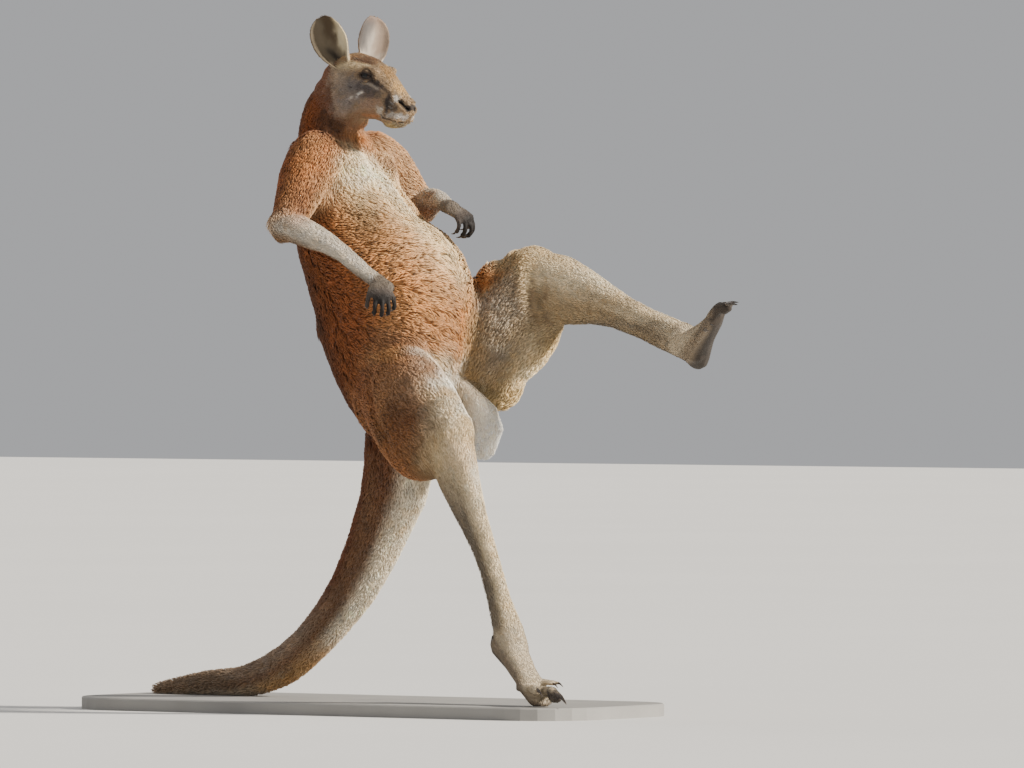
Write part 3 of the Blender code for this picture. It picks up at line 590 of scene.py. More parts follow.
kept = tree_of(skin_points[is_middle])
skin_points, skin_faces = thinned(skin_points, skin_faces, is_broad, BROAD_TRIANGLES)
is_middle = np.array([kept.find(point)[2] < 1e-5 for point in skin_points.tolist()])
skin_points, skin_faces = thinned(skin_points, skin_faces, is_middle, MIDDLE_TRIANGLES)
mesh = mesh_of("rough_skin", skin_points, skin_faces)
print("skin", len(skin_faces), "triangles")

# %% Finer mesh round the eyes, nose and mouth
EYE_RADIUS = 0.0158
EYE_AT = {"R": np.array((0.089, -0.0325, 0.029)), "L": np.array((0.089, 0.0325, 0.029))}
EYE_OUT = {"R": (0.30, -0.95, 0.08), "L": (0.30, 0.95, 0.08)}
FINE_MUZZLE = 0.120  # how far ahead of the skull's middle the closer mesh starts
FINE_EYE = 0.026


def near_face(points):
    """Which points get one more split, and which get two."""
    at = to_head(points)
    eye = np.minimum(*(np.linalg.norm(at - EYE_AT[side], axis=1) for side in "RL"))
    muzzle = (at[:, 0] > FINE_MUZZLE) & (at[:, 2] > -0.2) & (np.abs(at[:, 1]) < 0.06)
    return muzzle | (eye < FINE_EYE), eye < FINE_EYE * 0.85


def split_where(mesh, chosen):
    """Cuts in two every edge whose ends are both chosen."""
    shape = bmesh.new()
    shape.from_mesh(mesh)
    shape.verts.ensure_lookup_table()
    cut = [e for e in shape.edges if chosen[e.verts[0].index] and chosen[e.verts[1].index]]
    bmesh.ops.subdivide_edges(shape, edges=cut, cuts=1, use_grid_fill=True)
    bmesh.ops.triangulate(shape, faces=shape.faces)
    shape.to_mesh(mesh)
    shape.free()


for level in range(2):
    split_where(mesh, near_face(points_of(mesh))[level])
skin_points, skin_faces = points_of(mesh), faces_of(mesh)
skin_edges = edges_of(skin_faces)
skin_bone = bones_at(skin_points)
print("skin", len(skin_faces), "triangles with the face split finer")

# %% [markdown]
# ## Modelling the skin
#
# The face needs lids, nostrils, a mouth and folds that no solid carries, and the body needs the
# tendons and creases that catch the light through short hair. Each is a small press or groove
# along a line that is first laid on the skin, as a taxidermist works wet clay. This keeps the
# skin in one piece. The lids are shaped last: points over the eye are sunk behind it, points
# round it are drawn over it, and a thin dark rim closes the edge.

# %% Grooves and swellings
def on_skin(path):
    tree = BVHTree.FromPolygons(skin_points.tolist(), skin_faces.tolist())
    return np.array([tree.find_nearest(p)[0] for p in np.asarray(path, float).tolist()])


def dense(path, parts=8):
    """More points on a smooth curve through those given."""
    path = np.asarray(path, float)
    held = np.concatenate([path[:1], path, path[-1:]])
    found = []
    for a, b, c, d in zip(held, held[1:], held[2:], held[3:]):
        for t in np.arange(parts) / parts:
            found.append(b + 0.5 * t * (c - a + t * (2 * a - 5 * b + 4 * c - d + t * (3 * (b - c) + d - a))))
    return np.array(found + [path[-1]])


def gap_to(points, path):
    """Each point's distance from a line of points, and how far along it that is, from 0 to 1."""
    starts, steps = path[:-1], np.diff(path, axis=0)
    square = np.maximum((steps ** 2).sum(-1), 1e-12)
    share = np.clip(((points[:, None] - starts) * steps).sum(-1) / square, 0, 1)
    away = np.linalg.norm(points[:, None] - starts - share[..., None] * steps, axis=-1)
    nearest = away.argmin(1)
    rows = np.arange(len(points))
    return away[rows, nearest], (nearest + share[rows, nearest]) / len(steps)


def groove(path, width, depth, lip=0.3):
    """Sinks a line into the skin, or raises it if depth is below 0, with a low lip each side."""
    path = on_skin(dense(path))
    close = np.flatnonzero((np.abs(skin_points - path.mean(0)) < np.ptp(path, axis=0) / 2 + 4 * width).all(1))
    away, along = gap_to(skin_points[close], path)
    fade = step(0, 0.18, along) * step(1, 0.82, along)
    fade = np.where(away < 3.5 * width, np.maximum(fade, 0.15), 0)
    press = np.exp(-(away / width) ** 2) - lip * np.exp(-((away - 2 * width) / width) ** 2)
    skin_points[close] -= skin_normals[close] * (depth * press * fade)[:, None]
    return close, np.clip(press * fade, 0, 1)


def both_sides(path):
    """A path on the head and its mirror image, in the frame."""
    path = np.asarray(path, float)
    return [from_head(path), from_head(path * (1, -1, 1))]


skin_normals = relaxed(normals_of(skin_points, skin_faces), skin_edges, 3)
JAW_FOLD = [(-0.024, -0.064, -0.045), (-0.012, -0.058, -0.064), (0.003, -0.046, -0.080),
            (0.020, -0.035, -0.088)]
FOLD_STEP = np.array((-0.0042, 0, -0.0056))
NECK_FOLDS = [path for n in range(5) for path in both_sides(np.array(JAW_FOLD) + n * FOLD_STEP)]
BREASTBONE = [(-0.185, 0.004, 1.330), (-0.140, 0.006, 1.262), (-0.085, 0.008, 1.190), (-0.020, 0.010, 1.120),
              (0.040, 0.010, 1.060)]
PECTORALS = [[(-0.190, -0.100, 1.330), (-0.150, -0.080, 1.270), (-0.110, -0.060, 1.225)],
             [(-0.190, 0.118, 1.330), (-0.140, 0.100, 1.270), (-0.100, 0.080, 1.225)]]
KNEE_FOLDS = [[(0.205, 0.105, 1.035), (0.203, 0.102, 1.000), (0.214, 0.100, 0.960), (0.226, 0.104, 0.925)],
              [(0.235, 0.112, 1.040), (0.232, 0.110, 1.000), (0.242, 0.112, 0.960), (0.252, 0.116, 0.930)]]
HAM_LINES = [[(-0.080, -0.170, 0.850), (-0.070, -0.200, 0.780), (-0.030, -0.225, 0.705),
              (0.030, -0.235, 0.640)],
             [(0.050, -0.205, 0.820), (0.085, -0.235, 0.750), (0.125, -0.250, 0.680), (0.165, -0.250, 0.615)]]
# Lines, then the width, depth and lip of their grooves.
for lines, width, depth, lip in ((NECK_FOLDS, 0.0026, 0.0024, 0.45), ([BREASTBONE], 0.016, -0.0050, 0.5),
                                 (PECTORALS, 0.018, 0.0045, 0.4), (KNEE_FOLDS, 0.011, 0.0055, 0.5),
                                 (HAM_LINES, 0.014, 0.0050, 0.5)):
    for line in lines:
        groove(line, width, depth, lip)
print("body folds laid")

# %% Tendons along the shanks and forearms
def tendon(bone, low, high, behind, width, depth):
    """A long groove each side of a limb, at one angle from its front."""
    mine = np.flatnonzero(skin_bone == NUMBER[bone])
    at = follow(skin_points[mine], bone)
    fade = step(low, low + 0.12, at["along"]) * step(high, high - 0.08, at["along"])
    press = np.exp(-((at["front"] - behind) / width) ** 2)
    press -= 0.4 * np.exp(-((at["front"] - behind + 2 * width) / width) ** 2)
    skin_points[mine] -= skin_normals[mine] * (depth * press * fade)[:, None]


# The bone, where along it the groove starts and ends, its angle, width and depth.
for side in "RL":
    tendon(f"shank_{side}", 0.30, 0.97, -0.45, 0.22, 0.0050)
    tendon(f"shank_{side}", 0.20, 0.90, 0.62, 0.16, 0.0020)
    tendon(f"forearm_{side}", 0.20, 0.98, 0.20, 0.25, 0.0022)
print("tendons laid")

# %% The face
MOUTH = [(0.128, -0.036, -0.066), (0.146, -0.034, -0.072), (0.166, -0.030, -0.077), (0.179, -0.019, -0.081),
         (0.188, -0.004, -0.083)]
NOSTRIL = [(0.181, -0.024, -0.030), (0.190, -0.023, -0.037), (0.199, -0.018, -0.046), (0.204, -0.009, -0.055)]
LIP_CLEFT = [(0.204, 0, -0.060), (0.199, 0, -0.070), (0.190, 0, -0.082)]
CHEEK_BONE = [(0.030, -0.052, 0.006), (0.062, -0.050, -0.002), (0.095, -0.046, -0.004),
              (0.120, -0.038, -0.012)]
BROW = [(0.056, -0.043, 0.046), (0.080, -0.040, 0.052), (0.104, -0.033, 0.046), (0.120, -0.027, 0.036)]
TEAR_LINE = [(0.108, -0.038, 0.020), (0.122, -0.034, 0.010), (0.138, -0.031, 0.000)]
WHISKER_PAD = [(0.150, -0.032, -0.050), (0.168, -0.030, -0.056), (0.184, -0.022, -0.062)]
for line in both_sides(MOUTH):
    groove(line, 0.0020, 0.0036, 0.5)
# How far each point is pressed into a nostril; it sets the painted shade inside the nostrils.
nostril_shade = np.zeros(len(skin_points))
for line in both_sides(NOSTRIL):
    close, press = groove(line, 0.0044, 0.0100, 0.35)
    nostril_shade[close] = np.maximum(nostril_shade[close], press)
for path, width, depth, lip in ((CHEEK_BONE, 0.0110, -0.0030, 0.5), (BROW, 0.0070, -0.0042, 0.2),
                                (TEAR_LINE, 0.0040, 0.0018, 0.4), (WHISKER_PAD, 0.0070, -0.0022, 0.2)):
    for line in both_sides(path):
        groove(line, width, depth, lip)
groove(from_head(LIP_CLEFT), 0.0016, 0.0022, 0.3)
print("mouth, nostrils and brow laid")

# %% Lids
LID_LONG, LID_HIGH, LID_LOW = 0.0132, 0.0050, 0.0066
LID_THICK = 0.0016
BARE_EDGE, FAR_OUT = 0.0030, 9.0
LID_BLEND = 0.0030  # how softly the lids run out into the face
LID_REACH = 0.0300  # how far from the eye's middle the skin is moved
CREASE_AT, CREASE_WIDE, CREASE_DEEP = 1.75, 0.16, 0.0014  # the first two in sizes of the opening
RIM_POINTS, RIM_THICK, RIM_OUT = 72, 0.0013, 0.0006
LID_TILT = math.radians(-10)  # the front corner sits lower


def eye_axes(side):
    out = unit(np.array(EYE_OUT[side]))
    ahead = np.array((math.cos(LID_TILT), 0, math.sin(LID_TILT)))
    ahead = unit(ahead - (ahead @ out) * out)
    up = np.cross(out, ahead) * (1 if side == "R" else -1)
    up = up if up[2] > 0 else -up
    return np.array((ahead, up, out))


def lid_edge(turn):
    """The almond that the lids leave open: along and up, for angles round it."""
    high = np.where(np.sin(turn) > 0, LID_HIGH, LID_LOW)
    pinch = np.abs(np.sin(turn)) ** 1.25
    return np.stack([LID_LONG * np.cos(turn), np.sign(np.sin(turn)) * high * pinch], axis=-1)


def round_lids(at, side, above):
    """How far out each place is on an oval round the eye, where 1 is its edge; huge behind the eye."""
    x, y, out = ((at - EYE_AT[side]) @ eye_axes(side).T).T
    oval = np.hypot(x / (LID_LONG + BARE_EDGE), y / (LID_HIGH + above))
    return np.where(out > 0, oval, FAR_OUT)


for side in "RL":
    axes = eye_axes(side)
    at = (to_head(skin_points) - EYE_AT[side]) @ axes.T
    flat = np.hypot(at[:, 0], at[:, 1])
    near = np.flatnonzero((flat < LID_REACH) & (at[:, 2] > 0))
    x, y, high = at[near].T
    turn = np.arctan2(y, x * (LID_HIGH + LID_LOW) / 2 / LID_LONG)
    edge = lid_edge(turn)
    ratio = np.hypot(x, y) / np.maximum(np.linalg.norm(edge, axis=1), 1e-4)
    ball = np.sqrt(np.maximum((EYE_RADIUS + LID_THICK) ** 2 - x ** 2 - y ** 2, 0.0001 ** 2))
    snap = (ratio > 0.86) & (ratio < 1.14)
    x, y = np.where(snap, edge[:, 0], x), np.where(snap, edge[:, 1], y)
    over = step(EYE_RADIUS * 1.30, EYE_RADIUS * 0.85, np.hypot(x, y))
    lidded = (high + ball + np.sqrt((high - ball) ** 2 + LID_BLEND ** 2)) / 2 * (1 - over) + ball * over
    crease = np.exp(-((ratio - CREASE_AT) / CREASE_WIDE) ** 2) * CREASE_DEEP
    sunk = np.where(ratio < 0.93, ball * 0.35, lidded - crease)
    at[near] = np.stack([x, y, sunk], axis=1)
    skin_points[near] = from_head(EYE_AT[side] + at[near] @ axes)
print("lids drawn over the eyes")

# %% Lid rims
def tube(path, radius, sides=8):
    """A closed ring of even thickness along a closed path."""
    count = len(path)
    way = unit(np.roll(path, -1, axis=0) - np.roll(path, 1, axis=0))
    out = unit(path - path.mean(0))
    out = unit(out - (out * way).sum(1, keepdims=True) * way)
    other = np.cross(way, out)
    turn = (np.arange(sides) / sides * 2 * math.pi)[None, :, None]
    points = path[:, None] + radius * (np.cos(turn) * out[:, None] + np.sin(turn) * other[:, None])
    faces = []
    for a in range(count):
        b = (a + 1) % count
        for c in range(sides):
            d = (c + 1) % sides
            p, q, r, s = a * sides + c, b * sides + c, b * sides + d, a * sides + d
            faces += [(p, q, r), (p, r, s)]
    return points.reshape(-1, 3), np.array(faces)


def outward(points, faces):
    """The same faces, turned over if the shell is inside out."""
    a, b, c = (points[faces[:, n]] for n in range(3))
    return faces if (a * np.cross(b, c)).sum() > 0 else faces[:, ::-1]


rims, lid_rings = [], []
for side in "RL":
    ring = lid_edge(np.linspace(0, 2 * math.pi, RIM_POINTS, endpoint=False))
    out = np.sqrt((EYE_RADIUS + RIM_OUT) ** 2 - (ring ** 2).sum(1))
    ring = np.concatenate([ring * 1.02, out[:, None]], axis=1)
    ring = from_head(EYE_AT[side] + ring @ eye_axes(side))
    lid_rings.append(ring)
    points, faces = tube(ring, RIM_THICK)
    rims.append((points, outward(points - points.mean(0), faces)))
rim_start = len(skin_points)
skin_points, skin_faces = stacked([(skin_points, skin_faces), *rims])
skin_bone = np.concatenate([skin_bone, np.full(len(skin_points) - rim_start, NUMBER["head"])])
skin_edges = edges_of(skin_faces)
skin_normals = normals_of(skin_points, skin_faces)
print("skin", len(skin_points), "points,", len(skin_faces), "triangles")

# %% [markdown]
# ## Markings
#
# A red kangaroo is rust on the back and flanks, cream down the breast and inside the thighs, and
# cream to nearly white on the lower limbs; the fingers and nose are almost black, the soles are
# dark, and the face is grey with a pale stripe. The colours are worked out in code, first from
# where a point lies on its bone, then from a list of soft patches. Some of them are painted light
# and shade: lit and shaded sides on the tail, the near shank, the scrotum and the ears, pale light
# at the throat and on the near thigh's top edge, and shade in folds, grooves and hollows. Skin and
# tufts read the same numbers, so a gap between tufts never shows a different animal beneath.

# %% Ground colours
RUST, DEEP_RUST, ORANGE = linear("9a5a2e"), linear("563017"), linear("c78b52")
SAND, CREAM, WHITE = linear("d6b184"), linear("ecd2a6"), linear("e6dccb")
SOOT = linear("4a413a")
SUNLIT_SIDE = (0.81, 0.58)  # the way ahead and to the left that the sunlit side of a limb faces, as seen; colour mixed by it is painted light and shade


def mix(first, second, share):
    """From the first colour to the second by a share at each point; a colour can be a code."""
    first, second = (linear(c) if isinstance(c, str) else c for c in (first, second))
    share = np.asarray(share)[:, None]
    return first * (1 - share) + second * share


def ground_colour(points, bone_name, at):
    """The colour by place along the bone and round it, before the patches."""
    front, left, along = at["front"], at["left"], at["along"]
    outer = -left if bone_name.endswith("_R") else left
    high = points[:, 2]
    base = np.tile(RUST, (len(points), 1))
    if bone_name == "trunk":
        base = mix(mix(DEEP_RUST, RUST, step(-0.8, -0.1, front)), ORANGE, step(-0.15, 0.45, front))
        base = mix(base, SAND, step(0.62, 0.95, front) * step(0.92, 1.10, high) * 0.8)
        base = mix(base, CREAM, step(0.90, 0.99, front) * step(1.00, 1.10, high) * 0.85)
        base = mix(base, CREAM, step(0.10, 0.55, front) * step(1.17, 1.27, high) * 0.9)
        base = mix(base, CREAM, step(0.15, 0.60, front) * step(0.865, 0.825, high))
        base = mix(base, WHITE, step(0.35, 0.8, front) * step(0.87, 0.82, high))
    elif bone_name == "neck":
        base = mix(mix(DEEP_RUST, "945429", step(-0.9, -0.3, front)), "96694a", step(-0.1, 0.5, front))
        base = mix(base, ORANGE, step(0.70, 0.95, front) * step(0.30, 0.70, along) * 0.8)
        base = mix(base, "8a6244", step(0.62, 0.78, along) * step(0.0, 0.6, front) * 0.5)
    elif bone_name == "tail":
        base = mix("6a3a1e", "7f5c40", step(-0.80, -0.35, front))
        # Painted light: the side of the tail turned to the sun, as seen, is paler.
        base = mix(base, "a78f76", step(-0.1, 0.45, SUNLIT_SIDE[0] * front + SUNLIT_SIDE[1] * at["left"]) * 0.85)
        base = mix(base, "f2e4ca", step(0.45, 0.85, front))
        base = mix(base, "b08a5c", step(0.35, 0.8, front) * step(0.52, 0.60, along) * step(0.80, 0.70, along))
        base = mix(base, "b3a08a", step(0.40, 0.60, along) * step(0.3, -0.3, front) * 0.6)
        base = mix(base, "8f765b", step(0.72, 0.84, along) * 0.7)
    elif bone_name.startswith("thigh"):
        near = bone_name == "thigh_R"
        base = mix("a06c42" if near else "dcc08e", "b38a66" if near else "bd9a6c",
                   step(-0.5, 0.4, front))
        base = mix(base, "e0caa4", step(0.45, 0.92, front) * (step(0.45, 0.75, along) if near else 1.0))
        base = mix(base, "dcc6a0", step(0.74, 0.98, along) * 0.8)
        base = mix(base, "d8ccb8" if near else "9c8462", step(0.1, -0.55, outer) * 0.75)
        base = mix(base, "a87246" if near else "d8bb8c", step(0.1, 0.6, outer) * step(0.5, 0.1, along) * 0.6)
    elif bone_name.startswith("shank"):
        base = mix("ad9672", "e2cfac", step(-0.7, 0.1, front))
        base = mix(base, "d2b688", step(0.30, 0.05, along) * 0.7)
        base = mix(base, "5d544a", step(-0.90, -0.99, front) * step(0.30, 0.5, along) * 0.8)
        behind = 0.42 if bone_name == "shank_L" else 0.74
        # Painted shade: dark lines along the shank's sides, as the shade of its tendons.
        sinew_shade = np.exp(-((front + behind) / 0.12) ** 2) + 0.7 * np.exp(-((front + 0.05) / 0.07) ** 2)
        base = mix(base, "62564a", np.clip(sinew_shade, 0, 1) * step(0.15, 0.40, along) * 0.75)
        base = mix(base, "a3988a", step(0.80, 0.95, along) * step(0.3, -0.4, front) * 0.6)
        if bone_name == "shank_R":
            # Painted shade: the near shank's side turned from the sun is darker, with two dark lines of
            # painted shade down it.
            over = SUNLIT_SIDE[0] * front + SUNLIT_SIDE[1] * left
            base = mix(base, "75695b", step(0.55, 0.05, over) * step(0.05, 0.40, along) * 0.85)
            cord_shade = np.exp(-((over + 0.05) / 0.10) ** 2) + np.exp(-((over + 0.70) / 0.12) ** 2)
            base = mix(base, "453c35", np.clip(cord_shade, 0, 1) * step(0.15, 0.45, along) * 0.75)
    elif bone_name.startswith("foot"):
        base = mix("c8b79b", "8a7a66", step(0.3, -0.4, front))
        base = mix(base, SOOT, step(0.66, 0.86, along + 0.08 * cloud(points, 0.01, 5)))
        base = mix(base, "3a322b", step(-0.55, -0.85, front))
    elif bone_name.startswith("upper_arm"):
        base = mix("7d4a2a", "b98050", step(-0.5, 0.5, front + 0.3 * outer))
        base = mix(base, "dcc0a0", step(0.78, 1.0, along))
        base = mix(base, SAND, step(0.3, -0.4, outer) * 0.6)
    elif bone_name.startswith("forearm"):
        base = mix("765536", "d2c6b4", step(-0.55, 0.25, front))
        # Painted shade: a grey line along the forearm beside its tendon groove.
        base = mix(base, "8f8982", np.exp(-((front - 0.10) / 0.16) ** 2) * step(0.1, 0.3, along) * 0.60)
        base = mix(base, "b98f68", step(-0.35, -0.75, front) * step(0.7, 0.2, along) * 0.6)
    elif bone_name.startswith("hand"):
        base = mix("6f6356", "4a413b", step(0.15, 0.40, along))
        base = mix(base, "1b1614", step(0.38, 0.54, along))
    elif bone_name.startswith("ear"):
        base = np.tile(linear("a5825a"), (len(points), 1))
    elif bone_name == "scrotum":
        base = mix("fffaf0", "f2e2c8", step(0.6, 0.0, along))
        # Painted shade: the side of the scrotum turned from the sun is greyer.
        base = mix(base, "cdbfa9", step(0.0, -0.6, front) * 0.6)
    elif bone_name == "head":
        ahead = to_head(points)[:, 0] + 0.10 * np.clip(to_head(points)[:, 2], -0.05, 0.07)
        base = mix("7a4a2b", "a58a6a", step(-0.012, 0.018, ahead + 0.006 * cloud(points, 0.01, 3)))
    return base


# %% Patches
# Each patch: the place, how far it reaches each way, its colour and how strongly it covers.
BODY_PATCHES = [
    ((-0.136, -0.115, 1.182), (0.050, 0.050, 0.060), "77603f", 0.70),
    ((-0.160, -0.115, 1.250), (0.035, 0.040, 0.030), "d9bb8a", 0.60),
    ((-0.190, -0.080, 1.310), (0.040, 0.040, 0.030), "f2ddb4", 0.85),
    ((-0.178, -0.020, 1.312), (0.036, 0.052, 0.050), "fbeccb", 0.95),
    ((-0.200, -0.045, 1.350), (0.030, 0.040, 0.024), "f6e2bd", 0.85),
    ((-0.190, 0.075, 1.315), (0.035, 0.030, 0.020), "8a5230", 0.75),
    ((-0.155, 0.105, 1.285), (0.035, 0.035, 0.030), "dda873", 0.75),
    ((-0.125, 0.060, 1.250), (0.030, 0.040, 0.040), "f3d6a6", 0.85),
    ((-0.140, 0.006, 1.262), (0.016, 0.022, 0.045), "fff0d2", 0.85),
    ((-0.095, 0.008, 1.200), (0.018, 0.020, 0.045), "fdebca", 0.85),
    ((-0.120, 0.075, 1.220), (0.040, 0.040, 0.050), "dcab72", 0.60),
    ((-0.105, -0.110, 1.090), (0.060, 0.050, 0.050), "9a7348", 0.55),
    ((-0.160, -0.150, 1.060), (0.060, 0.050, 0.060), "a8612f", 0.50),
    ((-0.165, -0.140, 0.920), (0.080, 0.060, 0.120), "8a4d26", 0.55),
    ((-0.130, -0.160, 0.800), (0.080, 0.060, 0.080), "8f5229", 0.60),
    ((0.030, -0.100, 1.000), (0.060, 0.050, 0.050), "d89c5e", 0.45),
    ((0.030, -0.060, 0.880), (0.040, 0.070, 0.030), "b07a48", 0.70),
    ((-0.030, -0.120, 0.880), (0.050, 0.060, 0.030), "8a5a34", 0.60),
    ((0.075, -0.060, 0.840), (0.050, 0.070, 0.040), "f0dcb8", 0.75),
    ((-0.212, -0.085, 1.375), (0.025, 0.035, 0.025), "c98048", 0.70),
    ((-0.215, 0.020, 1.360), (0.040, 0.050, 0.035), "b8743f", 0.60),
    ((-0.250, -0.180, 1.330), (0.045, 0.050, 0.030), "c98549", 0.55),
    ((-0.290, -0.160, 1.300), (0.045, 0.050, 0.050), "9a5a30", 0.50),
    ((-0.245, -0.210, 1.240), (0.030, 0.035, 0.035), "7c4a2a", 0.55),
    ((-0.235, -0.225, 1.205), (0.020, 0.030, 0.012), "6a3f25", 0.55),
    ((-0.220, -0.255, 1.190), (0.035, 0.030, 0.025), "cfa27c", 0.60),
    ((-0.140, 0.150, 1.255), (0.030, 0.035, 0.025), "8a5630", 0.55),
    ((0.072, 0.119, 1.030), (0.040, 0.040, 0.026), "a9682f", 0.80),
    ((0.115, 0.100, 1.030), (0.030, 0.040, 0.030), "a88458", 0.60),
    # Painted shade: grey on the inner side of the far thigh.
    ((0.132, 0.086, 0.970), (0.050, 0.030, 0.080), "b3aaa0", 0.75),
    ((0.150, 0.070, 0.885), (0.018, 0.030, 0.050), "6f665e", 0.60),
    ((0.120, 0.075, 0.850), (0.030, 0.040, 0.060), "a39a8e", 0.60),
    ((0.225, 0.110, 1.060), (0.050, 0.050, 0.025), "f0e0bd", 0.80),
    ((0.205, 0.100, 0.990), (0.012, 0.030, 0.050), "8d7a60", 0.65),
    ((0.238, 0.112, 0.985), (0.012, 0.030, 0.050), "937f62", 0.60),
    ((0.200, 0.095, 0.860), (0.030, 0.040, 0.040), "e3d2b2", 0.70),
    ((0.262, 0.090, 0.865), (0.026, 0.120, 0.050), "705a3c", 0.80),
    ((0.215, 0.110, 0.730), (0.040, 0.050, 0.040), "faecd0", 0.85),
    ((0.170, 0.120, 0.800), (0.040, 0.050, 0.030), "f0dfbc", 0.70),
    ((0.400, 0.135, 0.985), (0.120, 0.040, 0.022), "b49c78", 0.60),
    ((0.470, 0.140, 0.935), (0.120, 0.040, 0.012), "8c7f6e", 0.60),
    ((0.360, 0.140, 1.040), (0.120, 0.040, 0.018), "f2e3c3", 0.70),
    # Painted light: a pale orange band along the near thigh's top edge, where it catches the sun.
    ((-0.080, -0.155, 0.860), (0.050, 0.040, 0.018), "e2ad70", 0.75),
    ((-0.020, -0.155, 0.868), (0.050, 0.040, 0.016), "dfa466", 0.70),
    ((0.050, -0.150, 0.872), (0.050, 0.050, 0.011), "faf0de", 0.55),
    ((0.110, -0.150, 0.855), (0.040, 0.060, 0.020), "faf0de", 0.92),
    ((0.158, -0.160, 0.815), (0.032, 0.060, 0.036), "faf0de", 0.90),
    ((0.085, -0.190, 0.800), (0.030, 0.050, 0.040), "bd9b7c", 0.60),
    ((0.115, -0.235, 0.720), (0.030, 0.060, 0.050), "6b452b", 0.70),
    ((0.120, -0.240, 0.610), (0.030, 0.060, 0.060), "7a5636", 0.75),
    ((0.165, -0.210, 0.735), (0.016, 0.050, 0.070), "e0c8a4", 0.75),
    ((0.225, -0.220, 0.645), (0.016, 0.050, 0.060), "e6d2b4", 0.70),
    ((0.000, -0.220, 0.740), (0.050, 0.050, 0.060), "b5865a", 0.60),
    ((-0.115, -0.200, 0.720), (0.035, 0.050, 0.080), "6d3f22", 0.60),
    ((-0.055, -0.200, 0.720), (0.030, 0.040, 0.080), "774c2d", 0.60),
    ((-0.010, -0.230, 0.660), (0.025, 0.040, 0.050), "80592f", 0.55),
    ((0.035, -0.220, 0.710), (0.030, 0.060, 0.070), "5f3a20", 0.70),
    ((0.190, -0.230, 0.672), (0.020, 0.060, 0.040), "8a6c4e", 0.50),
    ((0.262, -0.230, 0.624), (0.024, 0.060, 0.050), "ecd3ae", 0.75),
    ((0.300, -0.220, 0.600), (0.022, 0.070, 0.070), "fff7e8", 0.85),
    ((0.140, -0.140, 0.790), (0.034, 0.060, 0.032), "fff8ea", 0.90),
    ((0.225, -0.160, 0.732), (0.024, 0.060, 0.045), "fff5e4", 0.85),
    # The throat's pale fur made brighter, as painted light over the shade under the jaw.
    ((-0.172, -0.030, 1.345), (0.034, 0.060, 0.030), "f6dfb8", 0.90),
    ((-0.150, -0.060, 1.300), (0.040, 0.060, 0.040), "fff4dc", 0.80),
    ((0.090, -0.030, 0.876), (0.030, 0.060, 0.030), "a8713f", 0.70),
    ((-0.230, -0.250, 1.120), (0.030, 0.050, 0.020), "7d6040", 0.70),
    ((-0.064, -0.230, 1.045), (0.030, 0.050, 0.018), "6b4a2c", 0.70),
    ((0.560, 0.140, 0.920), (0.060, 0.050, 0.020), "8a7c6a", 0.60),
    ((0.217, -0.240, 0.740), (0.030, 0.040, 0.060), "f2e2c4", 0.75),
    ((-0.110, -0.060, 0.600), (0.030, 0.080, 0.100), "6b3d20", 0.60),
    ((-0.330, 0.010, 0.150), (0.050, 0.050, 0.030), "a8763a", 0.45),
]
# These are ahead, to the side and up from the middle of the skull, the same on both sides.
HEAD_PATCHES = [
    ((0.010, 0.052, 0.020), (0.034, 0.022, 0.034), "a8967f", 0.75),
    ((0.060, 0.048, -0.006), (0.052, 0.026, 0.036), "807670", 0.94),
    ((0.030, 0.050, -0.038), (0.038, 0.026, 0.024), "93857a", 0.80),
    ((0.105, 0.040, -0.004), (0.036, 0.020, 0.024), "544b49", 0.90),
    ((0.110, 0.038, -0.042), (0.036, 0.020, 0.016), "a5866f", 0.75),
    ((0.075, 0.030, -0.066), (0.062, 0.030, 0.013), "9c7a5e", 0.80),
    ((0.010, 0.000, 0.068), (0.062, 0.040, 0.020), "c99f68", 0.90),
    ((0.046, 0.012, 0.068), (0.026, 0.016, 0.012), "6a492e", 0.80),
    ((0.080, 0.012, 0.066), (0.024, 0.022, 0.012), "775539", 0.85),
    ((0.016, 0.020, 0.070), (0.016, 0.014, 0.012), "84603f", 0.60),
    ((0.052, 0.040, 0.051), (0.034, 0.014, 0.008), "ddc49b", 0.90),
    ((0.022, 0.046, 0.052), (0.018, 0.014, 0.010), "d6bd95", 0.80),
    ((0.130, 0.000, 0.034), (0.050, 0.022, 0.026), "a98455", 0.85),
    ((0.168, 0.000, 0.000), (0.030, 0.020, 0.022), "cfa76c", 0.85),
    ((0.140, 0.022, 0.012), (0.030, 0.007, 0.014), "8b7355", 0.60),
    ((0.090, 0.044, 0.030), (0.024, 0.016, 0.0130), "5c4a3e", 0.70),
    ((0.120, 0.036, 0.012), (0.022, 0.012, 0.009), "4f4138", 0.75),
    ((0.156, 0.033, -0.036), (0.015, 0.018, 0.022), "3a312d", 0.92),
    ((0.168, 0.030, -0.050), (0.014, 0.018, 0.010), "4a403a", 0.70),
    ((0.128, 0.034, -0.058), (0.013, 0.015, 0.016), "d2c8b8", 0.85),
    ((0.176, 0.027, -0.024), (0.009, 0.010, 0.009), "ddd6cc", 0.85),
    ((0.168, 0.030, -0.066), (0.026, 0.016, 0.008), "c0b6aa", 0.80),
    ((0.190, 0.016, -0.070), (0.014, 0.016, 0.008), "d8cfc5", 0.85),
    ((0.150, 0.020, -0.092), (0.042, 0.034, 0.009), "b3a070", 0.80),
    ((0.176, 0.014, -0.088), (0.016, 0.018, 0.006), "8d8578", 0.60),
    ((0.202, 0.000, -0.046), (0.012, 0.016, 0.013), "1f1a19", 0.95),
    ((-0.004, 0.036, -0.086), (0.048, 0.045, 0.019), "93694c", 0.95),
    ((0.030, 0.010, -0.092), (0.040, 0.030, 0.014), "b48560", 0.85),
    ((0.012, 0.046, -0.056), (0.024, 0.020, 0.014), "b8a08c", 0.75),
]
MOLE = ((0.053, -0.054, 0.001), 0.0048)
